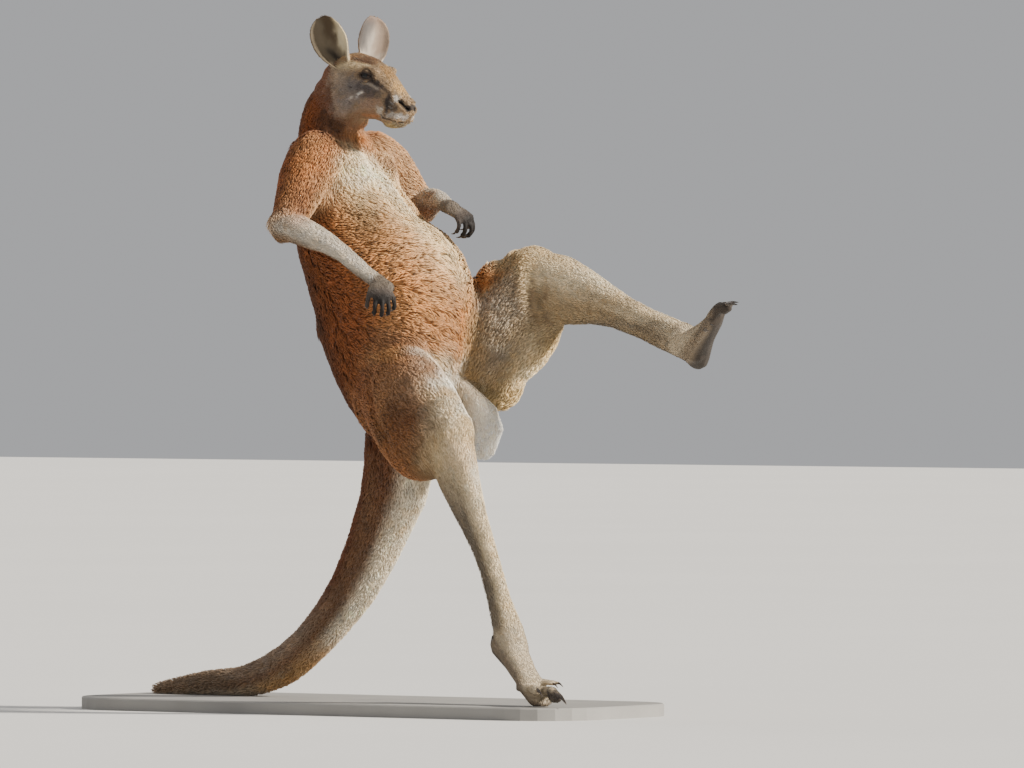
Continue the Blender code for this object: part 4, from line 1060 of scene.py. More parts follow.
# Lines on the face: the path, its width, its colour and how strongly it covers.
FACE_LINES = [
    ([(0.010, -0.049, 0.052), (0.045, -0.041, 0.061), (0.074, -0.036, 0.056), (0.094, -0.030, 0.048)],
     0.0042, "ead0a2", 0.90),
    ([(0.036, -0.034, 0.070), (0.067, -0.029, 0.065), (0.100, -0.016, 0.057)], 0.0048, "5a3a22", 0.75),
    ([(0.015, -0.053, 0.040), (-0.003, -0.055, 0.010), (0.000, -0.056, -0.021), (0.014, -0.054, -0.052)],
     0.0042, "b09a82", 0.75),
    ([(-0.010, -0.055, 0.018), (-0.012, -0.057, -0.018), (0.000, -0.056, -0.050)], 0.0055, "5c3a24", 0.65),
    ([(-0.010, -0.055, 0.061), (-0.008, -0.054, 0.046)], 0.0050, "b8a68d", 0.80),
    ([(0.111, -0.038, 0.019), (0.125, -0.036, 0.007), (0.142, -0.033, 0.000), (0.163, -0.031, -0.020)],
     0.0042, "3d2f27", 0.80),
    ([(0.100, -0.043, 0.024), (0.107, -0.040, 0.020), (0.114, -0.037, 0.017)], 0.0034, "211713", 0.90),
    ([(0.076, -0.048, 0.032), (0.070, -0.049, 0.033)], 0.0030, "2c201a", 0.80),
    ([(0.098, -0.045, 0.012), (0.114, -0.040, 0.004), (0.126, -0.036, -0.004)], 0.0030, "c9bba9", 0.60),
    ([(0.070, -0.047, 0.024), (0.076, -0.046, 0.036), (0.092, -0.041, 0.043), (0.106, -0.036, 0.037)],
     0.0032, "4a382c", 0.60),
    ([(0.070, -0.048, -0.017), (0.078, -0.047, -0.011), (0.087, -0.046, -0.009)], 0.0032, "f4efe8", 0.75),
    ([(0.048, -0.049, -0.024), (0.056, -0.048, -0.020)], 0.0030, "e8e0d6", 0.65),
    ([(0.064, -0.047, -0.024), (0.070, -0.047, -0.021)], 0.0022, "e8e0d6", 0.55),
    ([(0.156, -0.034, -0.030), (0.155, -0.034, -0.042), (0.151, -0.033, -0.055)], 0.0075, "332b27", 0.85),
    ([(0.162, -0.030, -0.034), (0.170, -0.028, -0.040)], 0.0014, "b9b0a6", 0.60),
    ([(0.158, -0.032, -0.044), (0.168, -0.029, -0.050)], 0.0014, "b9b0a6", 0.60),
    ([(0.070, -0.026, -0.068), (0.094, -0.023, -0.068), (0.116, -0.024, -0.066)], 0.0060, "c98a55", 0.75),
]


def patched(colours, places, patches, seed, spread):
    """Lays soft patches over the colours, each with a ragged edge."""
    wobble = 0.34 * cloud(places, spread, seed) + 0.16 * cloud(places, spread / 3, seed + 1)
    for place, reach, code, cover in patches:
        away = np.linalg.norm((places - place) / reach, axis=1) + wobble
        near = away < 1.35
        share = cover * step(1.35, 0.55, away[near])
        colours[near] = mix(colours[near], code, share)
    return colours


def ear_colour(points, normals, name):
    """Inside a cup of grey-brown skin, a pale sweep of hair by the root, outside tan."""
    side = name[-1]
    at = follow(points, name)
    along = at["along"]
    across = (points - BONES[name][0][0]) @ np.cross(unit(EAR_WAY[side]) @ HEAD_AXES, BONES[name][1])
    inside = step(0.05, 0.35, normals @ unit(BONES[name][1]))
    rim = step(0.025, 0.040, np.abs(across)) * step(0.1, 0.3, along)
    blur = 0.006 * cloud(points, 0.010, 41)
    if side == "R":
        # On the near ear the middle of the cup is painted shade and the slit of the canal a painted shadow.
        cup = mix("6f6350", "4c3d2a", step(-0.012, 0.006, across + blur) * step(0.20, 0.45, along + 8 * blur))
        cup = mix(cup, "6d634f", step(0.85, 1.0, along) * 0.6)
        cup = mix(cup, "d2c4a4", step(0.014, 0.024, across + blur) * step(0.66, 0.45, along) * 0.85)
        canal_shadow = np.exp(-((across - 0.004 + 0.05 * along) / 0.008) ** 2)
        cup = mix(cup, "1e1711", canal_shadow * step(0.42, 0.24, along))
        # Painted light and shade: a lit edge on one side of the near ear's rim and a shaded edge on the
        # other.
        cup = mix(cup, "d9c8a0", rim * step(0.0, 0.01, across) * 0.8)
        cup = mix(cup, "4d4230", rim * step(0.0, -0.01, across) * 0.6)
    else:
        # Painted light: the half of the far ear's cup that faces the sun is lighter.
        cup = mix("5f5a57", "a08c7a", step(-0.010, 0.012, across + blur))
        sweep = np.exp(-((across + 0.004 - 0.012 * along + blur) / 0.011) ** 2) * step(0.85, 0.45, along)
        cup = mix(cup, "cdc1b2", np.maximum(sweep * 0.85, step(0.34, 0.16, along + 6 * blur) * 0.9))
        cup = mix(cup, "8f7565", step(0.70, 0.95, along) * 0.6)
        cup = mix(cup, "4a4039", rim * 0.6)
    outer = mix("b89068", "8f6f4c", step(0.3, 0.9, along))
    outer = mix(outer, "e0cda8", step(0.5, 0.1, along) * 0.5)
    return mix(outer, cup, inside)


def coat_colours(points, normals, bone):
    """Every point's colour: by its bone, then the patches of body and head."""
    colours = np.zeros((len(points), 3))
    for name, mine in each_bone(bone):
        if name.startswith("ear"):
            colours[mine] = ear_colour(points[mine], normals[mine], name)
        else:
            colours[mine] = ground_colour(points[mine], name, follow(points[mine], name))
    on_head = bone == NUMBER["head"]
    on_ear = np.isin(bone, [NUMBER["ear_R"], NUMBER["ear_L"]])
    body = np.flatnonzero(~on_head & ~on_ear)
    colours[body] = patched(colours[body], points[body], BODY_PATCHES, 11, 0.022)
    head = np.flatnonzero(on_head)
    at = to_head(points[head])
    colours[head] = patched(colours[head], one_side(at), HEAD_PATCHES, 23, 0.008)
    mole = step(1.0, 0.5, np.linalg.norm(at - MOLE[0], axis=1) / MOLE[1])
    colours[head] = mix(colours[head], "241c18", mole)
    return colours


def dark_line(path, width, code, cover):
    """Colours the skin along a line, softly to each side."""
    box = (skin_points > path.min(0) - 3 * width).all(1) & (skin_points < path.max(0) + 3 * width).all(1)
    near = np.flatnonzero(box)
    away, _ = gap_to(skin_points[near], path)
    skin_colours[near] = mix(skin_colours[near], code, cover * np.exp(-(away / width) ** 2))


COLOUR_BLUR = 3
skin_colours = coat_colours(skin_points, skin_normals, skin_bone)
skin_colours = relaxed(skin_colours, skin_edges, COLOUR_BLUR, np.where(broad(skin_bone), 1.0, 0.25))
# The nostrils' line is painted near black, as shade in their hollows.
MOUTH_AND_NOSE = [(MOUTH, 0.0018, "3b3029", 0.90), (NOSTRIL, 0.0044, "120d0c", 0.98)]
for line, width, code, cover in FACE_LINES + MOUTH_AND_NOSE:
    for path in both_sides(line):
        dark_line(on_skin(dense(path)), width, code, cover)
dark_line(on_skin(dense(from_head(LIP_CLEFT))), 0.0014, "5a4d44", 0.7)
# Painted shade: the hollows of the nostrils near black.
skin_colours[:rim_start] = mix(skin_colours[:rim_start], "0f0b0a", step(0.15, 0.55, nostril_shade))
for side in "RL":
    lids = step(1.5, 1.1, round_lids(to_head(skin_points), side, 0.003))
    skin_colours = mix(skin_colours, "4b3c33", 0.85 * lids * (skin_bone == NUMBER["head"]))
# Painted shade in the folds of the far knee.
for fold in KNEE_FOLDS:
    dark_line(on_skin(dense(fold)), 0.0060, "6b5236", 0.65)
for ring in lid_rings:
    dark_line(ring, 0.0026, "211713", 0.95)
# Painted shade in the neck's folds.
for fold in NECK_FOLDS:
    dark_line(on_skin(dense(fold)), 0.0026, "3f2819", 0.75)
skin_colours[rim_start:] = linear("1d1512")
print("markings on", len(skin_points), "points")

# %% [markdown]
# ## The lie of the coat
#
# Hair grows away from the nose, back over the head, down the neck and down the limbs. On the
# chest and belly it is combed round the barrel as well as down it. Each bone gives that direction
# at its own points, and the directions are then relaxed over the skin so that the streams merge
# at the joints. Length, width and number of tufts are given per bone too.

# %% Direction, length and fullness
# Length and width of a tuft, and how many there are on a square metre.
HAIR = {
    "trunk": (0.026, 0.0030, 58_000), "neck": (0.016, 0.0024, 80_000), "tail": (0.015, 0.0025, 58_000),
    "thigh": (0.017, 0.0025, 67_000), "shank": (0.011, 0.0020, 70_000), "foot": (0.0070, 0.0016, 90_000),
    "head": (0.0080, 0.0014, 180_000), "ear": (0.0055, 0.0011, 140_000), "hand": (0.0055, 0.0012, 100_000),
    "forearm": (0.010, 0.0017, 95_000), "upper_arm": (0.018, 0.0026, 75_000),
    "scrotum": (0.009, 0.0018, 90_000),
}
AROUND = {"neck": 0.15, "thigh": 0.10}  # how much the hair runs round, not along


def lie_of_coat(points, bone):
    """The way the hair points, before it is relaxed."""
    lie = np.zeros((len(points), 3))
    for name, mine in each_bone(bone):
        at = follow(points[mine], name)
        lie[mine] = at["way"]
        flank = np.clip(1 - at["front"] ** 2, 0, 1)
        turn = AROUND.get(name, AROUND.get(name[:-2], 0)) * flank ** 0.35 * step(-0.85, 0.1, at["front"])
        if name == "trunk":
            low = step(1.30, 1.12, points[mine, 2])
            belly, chest = (step(-0.6, 0.1, at["front"]) * part for part in (low, 1 - low))
            turn = -(belly + 0.45 * chest) * flank ** 0.25
            lie[mine] *= (1 - 0.72 * belly - 0.35 * chest)[:, None]
        lie[mine] += at["round"] * (np.sign(at["left"]) * turn)[:, None]
        if name == "head":
            down = np.array((0, 0, -1.0))
            lie[mine] += down * (0.35 * step(0.3, -0.2, at["front"]))[:, None]
    return lie


def flattened(vectors, normals):
    """Vectors laid into the skin."""
    return unit(vectors - (vectors * normals).sum(1, keepdims=True) * normals)


skin_lie = flattened(lie_of_coat(skin_points, skin_bone), skin_normals)
for _ in range(3):
    skin_lie = flattened(relaxed(skin_lie, skin_edges, 5), skin_normals)
hair_of_bone = np.stack([per_bone({part: hair[n] for part, hair in HAIR.items()}) for n in range(3)], axis=1)
skin_hair = relaxed(hair_of_bone[skin_bone], skin_edges, 24)
skin_depth = relaxed(per_bone(DEPTH)[skin_bone], skin_edges, 6)

# Hair is shorter on the muzzle, high on the chest and in the neck's folds, and longer on the crown.
at = to_head(skin_points)
on_face = skin_bone == NUMBER["head"]
muzzle = on_face * step(0.06, 0.17, at[:, 0])
crown = on_face * step(0.045, 0.066, at[:, 2]) * step(0.11, 0.06, at[:, 0])
length = skin_hair[:, 0] * (1 - 0.45 * muzzle) * (1 + 0.8 * crown)
on_trunk = skin_bone == NUMBER["trunk"]
trunk_front = np.zeros(len(skin_points))
trunk_front[on_trunk] = follow(skin_points[on_trunk], "trunk")["front"]
plate = on_trunk * step(0.10, 0.45, trunk_front) * step(1.10, 1.20, skin_points[:, 2])
length *= 1 - 0.42 * plate
streaks = np.where(on_trunk, step(-0.6, 0.2, trunk_front), 0.6) * (1 - 0.85 * plate)
skin_streaks = relaxed(streaks, skin_edges, 6)
for fold in NECK_FOLDS:
    away, _ = gap_to(skin_points, dense(fold))
    length *= 1 - 0.6 * np.exp(-(away / 0.008) ** 2)
NOSE_TIP, NOSE_REACH = (0.203, 0.0, -0.046), 0.012
bare = on_face * step(NOSE_REACH, NOSE_REACH * 0.7, np.linalg.norm(one_side(at) - NOSE_TIP, axis=1))
for side in "RL":
    bare = np.maximum(bare, on_face * step(1.3, 1.0, round_lids(at, side, 0.004)))
for path in both_sides(NOSTRIL):
    away, _ = gap_to(skin_points[on_face], dense(path))
    bare[on_face] = np.maximum(bare[on_face], step(0.006, 0.003, away))
bare[rim_start:] = 1
for side in "RL":
    name = f"hand_{side}"
    mine = np.flatnonzero(skin_bone == NUMBER[name])
    at_hand = follow(skin_points[mine], name)
    bare[mine] = np.maximum(step(0.35, 0.6, at_hand["along"]), step(-0.1, -0.6, at_hand["front"]))
    name = f"foot_{side}"
    mine = np.flatnonzero(skin_bone == NUMBER[name])
    at_foot = follow(skin_points[mine], name)
    bare[mine] = np.maximum(step(0.82, 0.95, at_foot["along"]), step(-0.35, -0.75, at_foot["front"]))
    name = f"ear_{side}"
    mine = np.flatnonzero(skin_bone == NUMBER[name])
    inside = step(0.0, 0.3, skin_normals[mine] @ unit(BONES[name][1]))
    bare[mine] = np.where(follow(skin_points[mine], name)["along"] > 0.12, step(0.0, 0.2, inside), inside)
skin_fullness = skin_hair[:, 2] * (1 - bare)
print("hair from", round(length.min() * 1000, 1), "to", round(length.max() * 1000, 1), "mm")

# %% [markdown]
# ## An unwrap of the skin
#
# The tufts take their baked colour from one small patch each, at their root's place on a flat
# map of the skin. The map is made from the bones: every length of the body is rolled out like
# the bark of a log, along one way and round the other, and the strips are packed side by side.

# %% Strips of skin
MAP_SPAN = 3.0  # metres of skin across the whole map
STRIP_GAP = 0.02


def girth(name):
    """A bone's girth and its length, which set the size of its strip."""
    mine = skin_points[skin_bone == NUMBER[name]]
    path = BONES[name][0]
    away, _ = gap_to(mine, path)
    long = np.linalg.norm(np.diff(path, axis=0), axis=1).sum()
    return 2 * math.pi * float(np.percentile(away, 80)), float(long)


strips, low_edge, across, tallest = {}, 0.0, 0.0, 0.0
for name, (round_it, long) in sorted({n: girth(n) for n in BONE_NAMES}.items(), key=lambda item: -item[1][0]):
    if across + long > MAP_SPAN:
        low_edge, across, tallest = low_edge + tallest + STRIP_GAP, 0.0, 0.0
    strips[name] = (across, low_edge, long, round_it)
    across, tallest = across + long + STRIP_GAP, max(tallest, round_it)
MAP_SIZE = max(MAP_SPAN, low_edge + tallest)


def unwrapped(points, bone):
    """Each point's place on the map, from 0 to 1 both ways."""
    found = np.zeros((len(points), 2))
    for name, mine in each_bone(bone):
        at = follow(points[mine], name)
        u, v, long, round_it = strips[name]
        turn = np.arctan2(at["left"], at["front"]) / (2 * math.pi) + 0.5
        found[mine] = np.stack([u + long * at["along"], v + round_it * turn], axis=1)
    return found / MAP_SIZE


print("map of", round(MAP_SIZE, 2), "m across for", len(strips), "strips")

# %% [markdown]
# ## Tufts
#
# A tuft is a thin blade of three sides that comes out of the skin, rises to the depth of
# the coat and lies back to a point. Three shapes, straight and bent either way, are enough,
# because each is turned, stretched and coloured on its own. They could be placed by hand or as
# particles, but Geometry Nodes set tens of thousands at once from a cloud of roots, and leave
# real mesh behind. Neighbouring tufts lean together into locks, which is what lets the darker
# underfur show between them.

# %% Tuft shapes
def tuft_shape(name, bend, rings):
    """A blade of unit length along X, with its root under the skin and its tip bent down."""
    points, patch, tip, faces = [], [], [], []
    for ring in range(rings):
        run = ring / rings
        wide = 0.5 * math.sin(math.pi * min(0.28 + 0.72 * run, 1.0)) ** 0.7
        rise = -0.35 + 1.25 * math.sin(math.pi * 0.62 * run ** 0.8)
        side_step = bend * run ** 2
        for across, lift in ((-wide, 0.0), (wide, 0.0), (0.0, 0.34)):
            points.append((run, across + side_step, rise + lift * (1 - run)))
            patch.append((run - 0.5, across * 0.8, 0))
            tip.append(run)
    points.append((1.0, bend, 0.62))
    patch.append((0.5, 0, 0))
    tip.append(1.0)
    for ring in range(rings - 1):
        for a, b in ((0, 1), (1, 2), (2, 0)):
            p, q = ring * 3 + a, ring * 3 + b
            faces += [(p, q, q + 3), (p, q + 3, p + 3)]
    last = (rings - 1) * 3
    faces += [(last + a, last + b, rings * 3) for a, b in ((0, 1), (1, 2), (2, 0))] + [(0, 2, 1)]
    points = np.array(points)
    centre = points.mean(0)
    a, b, c = (points[np.array(faces)[:, n]] - centre for n in range(3))
    faces = np.array(faces)
    if (a * np.cross(b, c)).sum() < 0:
        faces = faces[:, ::-1]
    mesh = mesh_of(name, points, faces)
    store = mesh.attributes.new("patch", "FLOAT_VECTOR", "POINT")
    store.data.foreach_set("vector", np.array(patch, np.float32).ravel())
    store = mesh.attributes.new("tip", "FLOAT", "POINT")
    store.data.foreach_set("value", np.array(tip, np.float32))
    return bpy.data.objects.new(name, mesh)


TUFT_RINGS = 2
TUFTS = bpy.data.collections.new("short_tufts")
for kind, bend in (("a_straight", 0.0), ("b_left", 0.55), ("c_right", -0.55)):
    TUFTS.objects.link(tuft_shape(f"short_tufts_{kind}", bend, TUFT_RINGS))


# %% Tree that lays tufts on roots
def laying_tree():
    tree = bpy.data.node_groups.new("lay_tufts", "GeometryNodeTree")
    for name, kind in (("Roots", "Geometry"), ("Tufts", "Collection"), ("Seed", "Int"), ("Patch", "Float"),
                       ("Coat", "Material")):
        tree.interface.new_socket(name, in_out="INPUT", socket_type="NodeSocket" + kind)
    tree.interface.new_socket("Laid coat", in_out="OUTPUT", socket_type="NodeSocketGeometry")
    net = Net(tree)
    entry = tree.nodes.new("NodeGroupInput")
    given = {socket.name: Wire(net, socket) for socket in entry.outputs if socket.name}

    def named(attribute, kind="FLOAT_VECTOR"):
        return net.node("GeometryNodeInputNamedAttribute", {"data_type": kind}, {"Name": attribute})

    turn = net.node("FunctionNodeAlignRotationToVector", {"axis": "X"}, {"Vector": named("lie")})
    turn = net.node("FunctionNodeAlignRotationToVector", {"axis": "Z", "pivot_axis": "X"},
                    {"Rotation": turn, "Vector": named("up")})
    shapes = net.node("GeometryNodeCollectionInfo", {},
                      {"Collection": given["Tufts"], "Separate Children": True, "Reset Children": True})
    pick = tree.nodes.new("FunctionNodeRandomValue")
    pick.data_type = "INT"
    numbers = [socket for socket in pick.inputs if socket.type == "INT"]
    for socket, value in zip(numbers, (0, 2)):
        socket.default_value = value
    net.tree.links.new(given["Seed"].socket, pick.inputs["Seed"])
    which = Wire(net, next(socket for socket in pick.outputs if socket.type == "INT"))
    laid = net.node("GeometryNodeInstanceOnPoints", {}, {"Points": given["Roots"], "Instance": shapes,
                    "Pick Instance": True, "Instance Index": which, "Rotation": turn, "Scale": named("size")})
    laid = net.node("GeometryNodeRealizeInstances", {}, {"Geometry": laid})
    spread = net.node("ShaderNodeVectorMath", {"operation": "SCALE"},
                      {0: named("patch"), "Scale": given["Patch"]})
    place = net.node("ShaderNodeVectorMath", {"operation": "ADD"}, {0: named("root_uv"), 1: spread})
    laid = net.node("GeometryNodeStoreNamedAttribute", {"data_type": "FLOAT2", "domain": "CORNER"},
                    {"Geometry": laid, "Name": "OFBake", "Value": place})
    laid = net.node("GeometryNodeSetMaterial", {}, {"Geometry": laid, "Material": given["Coat"]})
    tree.links.new(laid.socket, tree.nodes.new("NodeGroupOutput").inputs[0])
    return tree


LAY_TUFTS = laying_tree()
print("tree inputs", [item.name for item in LAY_TUFTS.interface.items_tree])

# %% Roots
def sampled(faces, per_area, dice):
    """Evenly spread places on the chosen faces: for each, its face and its share of the corners."""
    a, b, c = (skin_points[faces[:, n]] for n in range(3))
    area = np.linalg.norm(np.cross(b - a, c - a), axis=1) / 2
    want = np.cumsum(area * per_area[faces].mean(1))
    count = int(want[-1])
    marks = (np.arange(count) + dice.uniform(0.05, 0.95, count)) * want[-1] / count
    face = np.minimum(np.searchsorted(want, marks), len(faces) - 1)
    r, s = np.sqrt(dice.random(count)), dice.random(count)
    return face, np.stack([1 - r, r * (1 - s), r * s], axis=1)


LOCK_SWAY, LOCK_REACH = 0.22, 1.25  # how far a lock turns aside, and where its tip is in tuft lengths


def locks(places, lie, normals, spacing, reach, pull, dice):
    """Leans each tuft to the tip of its lock. Also gives its lock, and its place along and across it."""
    count = len(places)
    chosen = dice.permutation(count)[:max(count // spacing, 1)]
    tree = tree_of(places[chosen])
    mine = np.array([tree.find(place)[1] for place in places.tolist()])
    aside = np.cross(normals[chosen], lie[chosen]) * dice.normal(0, LOCK_SWAY, (len(chosen), 1))
    tips = places[chosen] + unit(lie[chosen] + aside) * reach[chosen, None] * LOCK_REACH
    lean = unit(tips[mine] - places)
    off = places - places[chosen][mine]
    off = np.stack([(off * lie).sum(1), (off * np.cross(normals, lie)).sum(1)], axis=1)
    return unit(lie * (1 - pull) + lean * pull), mine, off


STREAK_LONG, STREAK_WIDE = 0.016, 0.0032  # a dark streak between two locks
COLOUR_PATCH = 0.003  # the side of the patch of map that colours one tuft


def even(number, spread, dice, count):
    """A number varied evenly, by up to that share of itself, for each tuft."""
    return number * (1 + dice.uniform(-spread, spread, count))


def coat_piece(name, bones, seed, lock_size, pull, streaks, finish, where=None):
    """The coat on some bones, as one mesh: roots with all their numbers, then the tree's tufts."""
    dice = np.random.default_rng(seed)
    wanted = np.isin(skin_bone, [NUMBER[b] for b in bones])
    if where is not None:
        wanted &= where
    faces = skin_faces[wanted[skin_faces].sum(1) >= 2]
    per_area = skin_fullness * 1.0
    face, share = sampled(faces, per_area, dice)
    corners = faces[face]

    def spread(values):
        return (values[corners] * share.reshape(len(share), 3, *[1] * (values.ndim - 1))).sum(1)

    count = len(face)
    places, normals = spread(skin_points), unit(spread(skin_normals))
    lie = flattened(spread(skin_lie), normals)
    size = even(spread(length), 0.30, dice, count)
    wide = even(spread(skin_hair[:, 1]), 0.25, dice, count) * 1.0
    depth = even(spread(skin_depth), 0.22, dice, count)
    lie, lock, off = locks(places, lie, normals, lock_size, size, pull, dice)
    lie = flattened(lie + np.cross(normals, lie) * dice.normal(0, 0.14, (count, 1)), normals)
    shade = dice.normal(1.0, 0.10, lock.max() + 1)[lock] * dice.normal(1.0, 0.07, count)
    dark = np.clip(dice.normal(0.1, 0.7, lock.max() + 1), 0, 1)[lock] * spread(skin_streaks)
    shade *= 1 - streaks * dark * np.exp(-(off[:, 0] / STREAK_LONG) ** 2 - (off[:, 1] / STREAK_WIDE) ** 2)
    warm = dice.normal(0, 0.025, lock.max() + 1)[lock]
    colour = spread(skin_colours) * shade[:, None] * (1 + warm[:, None] * (1, 0, -1.5))
    bone = skin_bone[corners[np.arange(count), share.argmax(1)]]
    roots = bpy.data.meshes.new("roots")
    roots.from_pydata(places.tolist(), [], [])
    uv = np.concatenate([unwrapped(places, bone), np.zeros((count, 1))], axis=1)
    scale = np.stack([size, wide, depth], axis=1)
    for attribute, values in (("lie", lie), ("up", normals), ("size", scale), ("root_uv", uv)):
        store = roots.attributes.new(attribute, "FLOAT_VECTOR", "POINT")
        store.data.foreach_set("vector", values.astype(np.float32).ravel())
    painted(roots, "coat", colour)
    thing = object_of("laying", roots)
    laying = thing.modifiers.new("lay_tufts", "NODES")
    laying.node_group = LAY_TUFTS
    for item in LAY_TUFTS.interface.items_tree:
        value = {"Tufts": TUFTS, "Seed": seed, "Patch": COLOUR_PATCH, "Coat": finish}.get(item.name)
        if value is not None:
            laying[item.identifier] = value
    mesh = settled(thing)
    for extra in ("lie", "up", "size", "root_uv", "patch"):
        if extra in mesh.attributes:
            mesh.attributes.remove(mesh.attributes[extra])
    mesh.shade_smooth()
    piece = object_of(name, mesh)
    mesh.name = name
    print(name, count, "tufts,", len(mesh.polygons), "triangles")
    return piece


# %% [markdown]
# ## Finishes of the coat and skin
#
# Hair is darker at the root and brighter at the tip, and neighbouring hairs differ a little. Both
# come from numbers stored on the tufts, so the pattern never slides. The skin beneath is the same
# colour, darker, with a fine grain in its bump.

# %% Coat finish
def coat_finish():
    made, net, shader = finish_named("kangaroo_coat", 0.72, Specular_IOR_Level=0.25, Sheen_Weight=0.12,
                                     Sheen_Roughness=0.5)
    coat = net.node("ShaderNodeAttribute", {"attribute_name": "coat"})
    tip = net.node("ShaderNodeAttribute", {"attribute_name": "tip"}, out=2)
    fine = net.noise(420.0, 2.0)
    soft = net.noise(46.0, 3.0)
    light = (0.72 + 0.40 * tip) * (0.82 + 0.36 * fine) * (0.90 + 0.2 * soft)
    plug(net, net.tint(coat, light), shader, "Base Color")
    plug(net, 0.62 + 0.22 * fine, shader, "Roughness")
    return made


def skin_finish():
    made, net, shader = finish_named("skin_under_coat", 0.75, Specular_IOR_Level=0.3)
    coat = net.node("ShaderNodeAttribute", {"attribute_name": "coat"})
    fine = net.noise(600.0, 3.0)
    soft = net.noise(70.0, 3.0)
    plug(net, net.tint(coat, (0.70 + 0.34 * fine) * (0.84 + 0.24 * soft)), shader, "Base Color")
    plug(net, 0.55 + 0.35 * fine, shader, "Roughness")
    bumpy(net, shader, fine + 0.6 * soft, 0.5, 0.0008)
    return made


COAT = coat_finish()
skin = solid_of("skin", skin_points, skin_faces)
skin.data.shade_smooth()
painted(skin.data, "coat", skin_colours)
skin.data.materials.append(skin_finish())
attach(skin, "root")
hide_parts(*NODE_BONES)

# %% Lay the coat
CHEST_FROM = 1.12  # the height where the chest's coat meets the belly's and the back's
high = skin_points[:, 2]
PIECES = [
    # name, bones, roots in a lock, lean into it, dark streaks, where, slot
    ("coat_head", ["head"], 10, 0.12, 0.35, None, "grey_fur"),
    ("coat_ears", ["ear_R", "ear_L"], 12, 0.12, 0.10, None, "grey_fur"),
    ("coat_neck", ["neck"], 20, 0.40, 0.45, None, "rust_fur"),
    ("coat_chest", ["trunk"], 20, 0.30, 0.30, high > CHEST_FROM, "pale_fur"),
    ("coat_belly", ["trunk"], 34, 0.55, 0.75, (high <= CHEST_FROM) & (trunk_front > 0.05), "rust_fur"),
    ("coat_back", ["trunk"], 34, 0.50, 0.60, (high <= CHEST_FROM) & (trunk_front <= 0.05), "rust_fur"),
    ("coat_thigh_R", ["thigh_R"], 20, 0.30, 0.30, None, "tan_fur"),
    ("coat_thigh_L", ["thigh_L", "scrotum"], 18, 0.25, 0.25, None, "pale_fur"),
    ("coat_shank_R", ["shank_R", "foot_R"], 14, 0.20, 0.20, None, "pale_fur"),
    ("coat_shank_L", ["shank_L", "foot_L"], 14, 0.20, 0.20, None, "pale_fur"),
    ("coat_arm_R", ["upper_arm_R", "forearm_R", "hand_R"], 16, 0.30, 0.40, None, "rust_fur"),
    ("coat_arm_L", ["upper_arm_L", "forearm_L", "hand_L"], 16, 0.30, 0.40, None, "rust_fur"),
    ("coat_tail", ["tail"], 16, 0.25, 0.15, None, "tan_fur"),
]
for seed, (name, bones, lock_size, pull, streaks, where, slot) in enumerate(PIECES, start=1):
    piece = coat_piece(name, bones, seed, lock_size, pull, streaks, COAT, where)
    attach(piece, "root")


# %% [markdown]
# ## Eyes
#
# The eye is a ball with a slightly raised front, nearly black, with a dark brown iris that only
# shows near the light. A polished ball alone looks like a bead, so the iris has fine spokes and
# a darker edge, and the gloss comes from the finish.

# %% Eyeballs
EYE_ROWS, EYE_COLUMNS = 36, 56
IRIS, PUPIL = 0.0098, 0.0050


def eyeball(side):
    """A ball whose pole looks out of the lids, with its colours on its points."""
    axes = eye_axes(side)
    points, colours, faces = [], [], []
    dice = np.random.default_rng(7)
    spokes = dice.normal(1.0, 0.22, EYE_COLUMNS)
    for row in range(EYE_ROWS + 1):
        tilt = math.pi * row / EYE_ROWS
        from_pole = EYE_RADIUS * math.sin(tilt)
        for column in range(EYE_COLUMNS):
            turn = 2 * math.pi * column / EYE_COLUMNS
            bulge = 0.0010 * math.exp(-(from_pole / 0.0085) ** 2) if tilt < math.pi / 2 else 0
            flat = (from_pole * math.cos(turn), from_pole * math.sin(turn))
            points.append((*flat, (EYE_RADIUS + bulge) * math.cos(tilt)))
            wide = math.hypot(flat[0] / 1.25, flat[1])
            ring = linear("2a180c") * spokes[column] * (1 - 0.6 * (wide / IRIS) ** 4)
            colour = linear("060404") if wide < PUPIL else ring if wide < IRIS else linear("140d0a")
            colours.append(np.clip(colour, 0, 1))
    for row in range(EYE_ROWS):
        for column in range(EYE_COLUMNS):
            a, b = row * EYE_COLUMNS + column, row * EYE_COLUMNS + (column + 1) % EYE_COLUMNS
            faces += [(a, a + EYE_COLUMNS, b + EYE_COLUMNS), (a, b + EYE_COLUMNS, b)]
    shape = from_head(EYE_AT[side] + np.array(points) @ axes)
    return shape, outward(shape - shape.mean(0), np.array(faces)), np.array(colours)


def eye_finish():
    made, net, shader = finish_named("wet_eye", 0.05, Coat_Weight=0.1, Coat_Roughness=0.02, IOR=1.34)
    base = net.node("ShaderNodeAttribute", {"attribute_name": "iris"})
    cloud_over = net.noise(900.0, 2.0)
    plug(net, net.tint(base, 0.75 + 0.5 * cloud_over), shader, "Base Color")
    plug(net, 0.04 + 0.05 * cloud_over, shader, "Roughness")
    return made


WET_EYE = eye_finish()
for side in "RL":
    points, faces, colours = eyeball(side)
    eye = solid_of(f"eyeball_{side}", points, faces)
    painted(eye.data, "iris", colours)
    merge = bmesh.new()
    merge.from_mesh(eye.data)
    bmesh.ops.remove_doubles(merge, verts=merge.verts, dist=1e-6)
    merge.to_mesh(eye.data)
    merge.free()
    eye.data.shade_smooth()
    eye.data.materials.append(WET_EYE)
    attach(eye, "root")
    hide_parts(f"eye_{side}")
print("two eyes of", len(eye.data.vertices), "points")

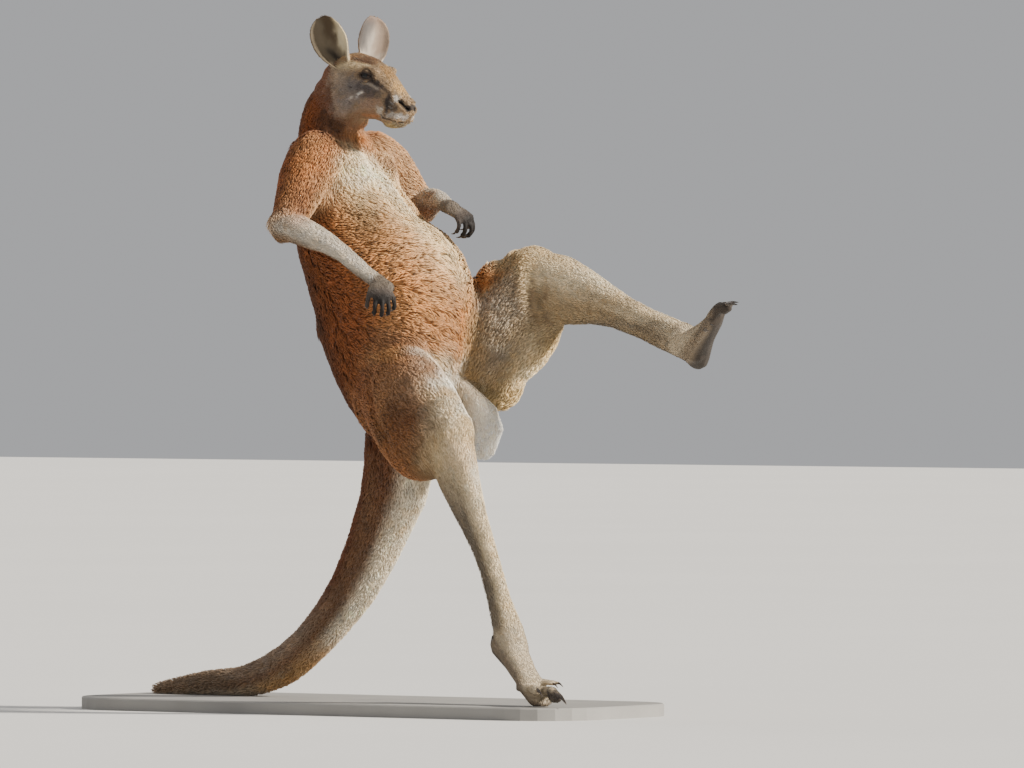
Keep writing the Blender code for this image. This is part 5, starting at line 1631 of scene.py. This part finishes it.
# %% [markdown]
# ## Claws
#
# Claws are horn: nearly black, worn a little paler in patches, with a fine grain.
# The frame's claws have the right shape but flat sides, so each is copied, rounded by one level
# of subdivision and given the horn finish.

# %% Claws rounded
def claw_finish():
    made, net, shader = finish_named("claw_horn", 0.35, Coat_Weight=0.15, Coat_Roughness=0.3)
    worn = net.noise(140.0, 4.0)
    lines = net.noise(900.0, 2.0)
    stops = [(0.35, tuple(linear("1c1715"))), (0.62, tuple(linear("4b4038")))]
    horn = net.node("ShaderNodeValToRGB", {"stops": stops}, {"Fac": worn})
    plug(net, horn, shader, "Base Color")
    plug(net, 0.28 + 0.25 * worn, shader, "Roughness")
    bumpy(net, shader, lines, 0.4, 0.0004)
    return made


HORN = claw_finish()
for family in ("toe_claw", "finger_claw"):
    names = sorted(name for name in NODES if name.startswith(family))
    rough = solid_of(family, *stacked([merged_copy(name) for name in names]))
    rounding = rough.modifiers.new("rounded", "SUBSURF")
    rounding.levels = rounding.render_levels = 1
    claws = object_of(family + "s", settled(rough))
    claws.data.name = family + "s"
    claws.data.shade_smooth()
    claws.data.materials.append(HORN)
    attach(claws, "root")
    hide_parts(*names)
    print(family, len(names), "claws,", len(claws.data.polygons), "faces")


# %% [markdown]
# ## Stand
#
# The stand keeps its own solid. Its finish is a fine matt stone-grey, a little mottled, so that
# it reads as a museum base and not as ground.

# %% Stand
def stand_finish():
    made, net, shader = finish_named("museum_base", 0.6)
    patches = net.noise(9.0, 5.0)
    grit = net.noise(380.0, 3.0)
    blend = net.blend(patches * 0.7 + grit * 0.3, (0.20, 0.19, 0.175, 1), (0.33, 0.32, 0.30, 1))
    plug(net, blend, shader, "Base Color")
    plug(net, 0.5 + 0.25 * grit, shader, "Roughness")
    bumpy(net, shader, grit, 0.25, 0.0004)
    return made


stand = NODES["stand_base"]
stand.data.materials.clear()
stand.data.materials.append(stand_finish())

# %% Tidy up
for shape in list(TUFTS.objects):
    bpy.data.objects.remove(shape)
bpy.data.collections.remove(TUFTS)
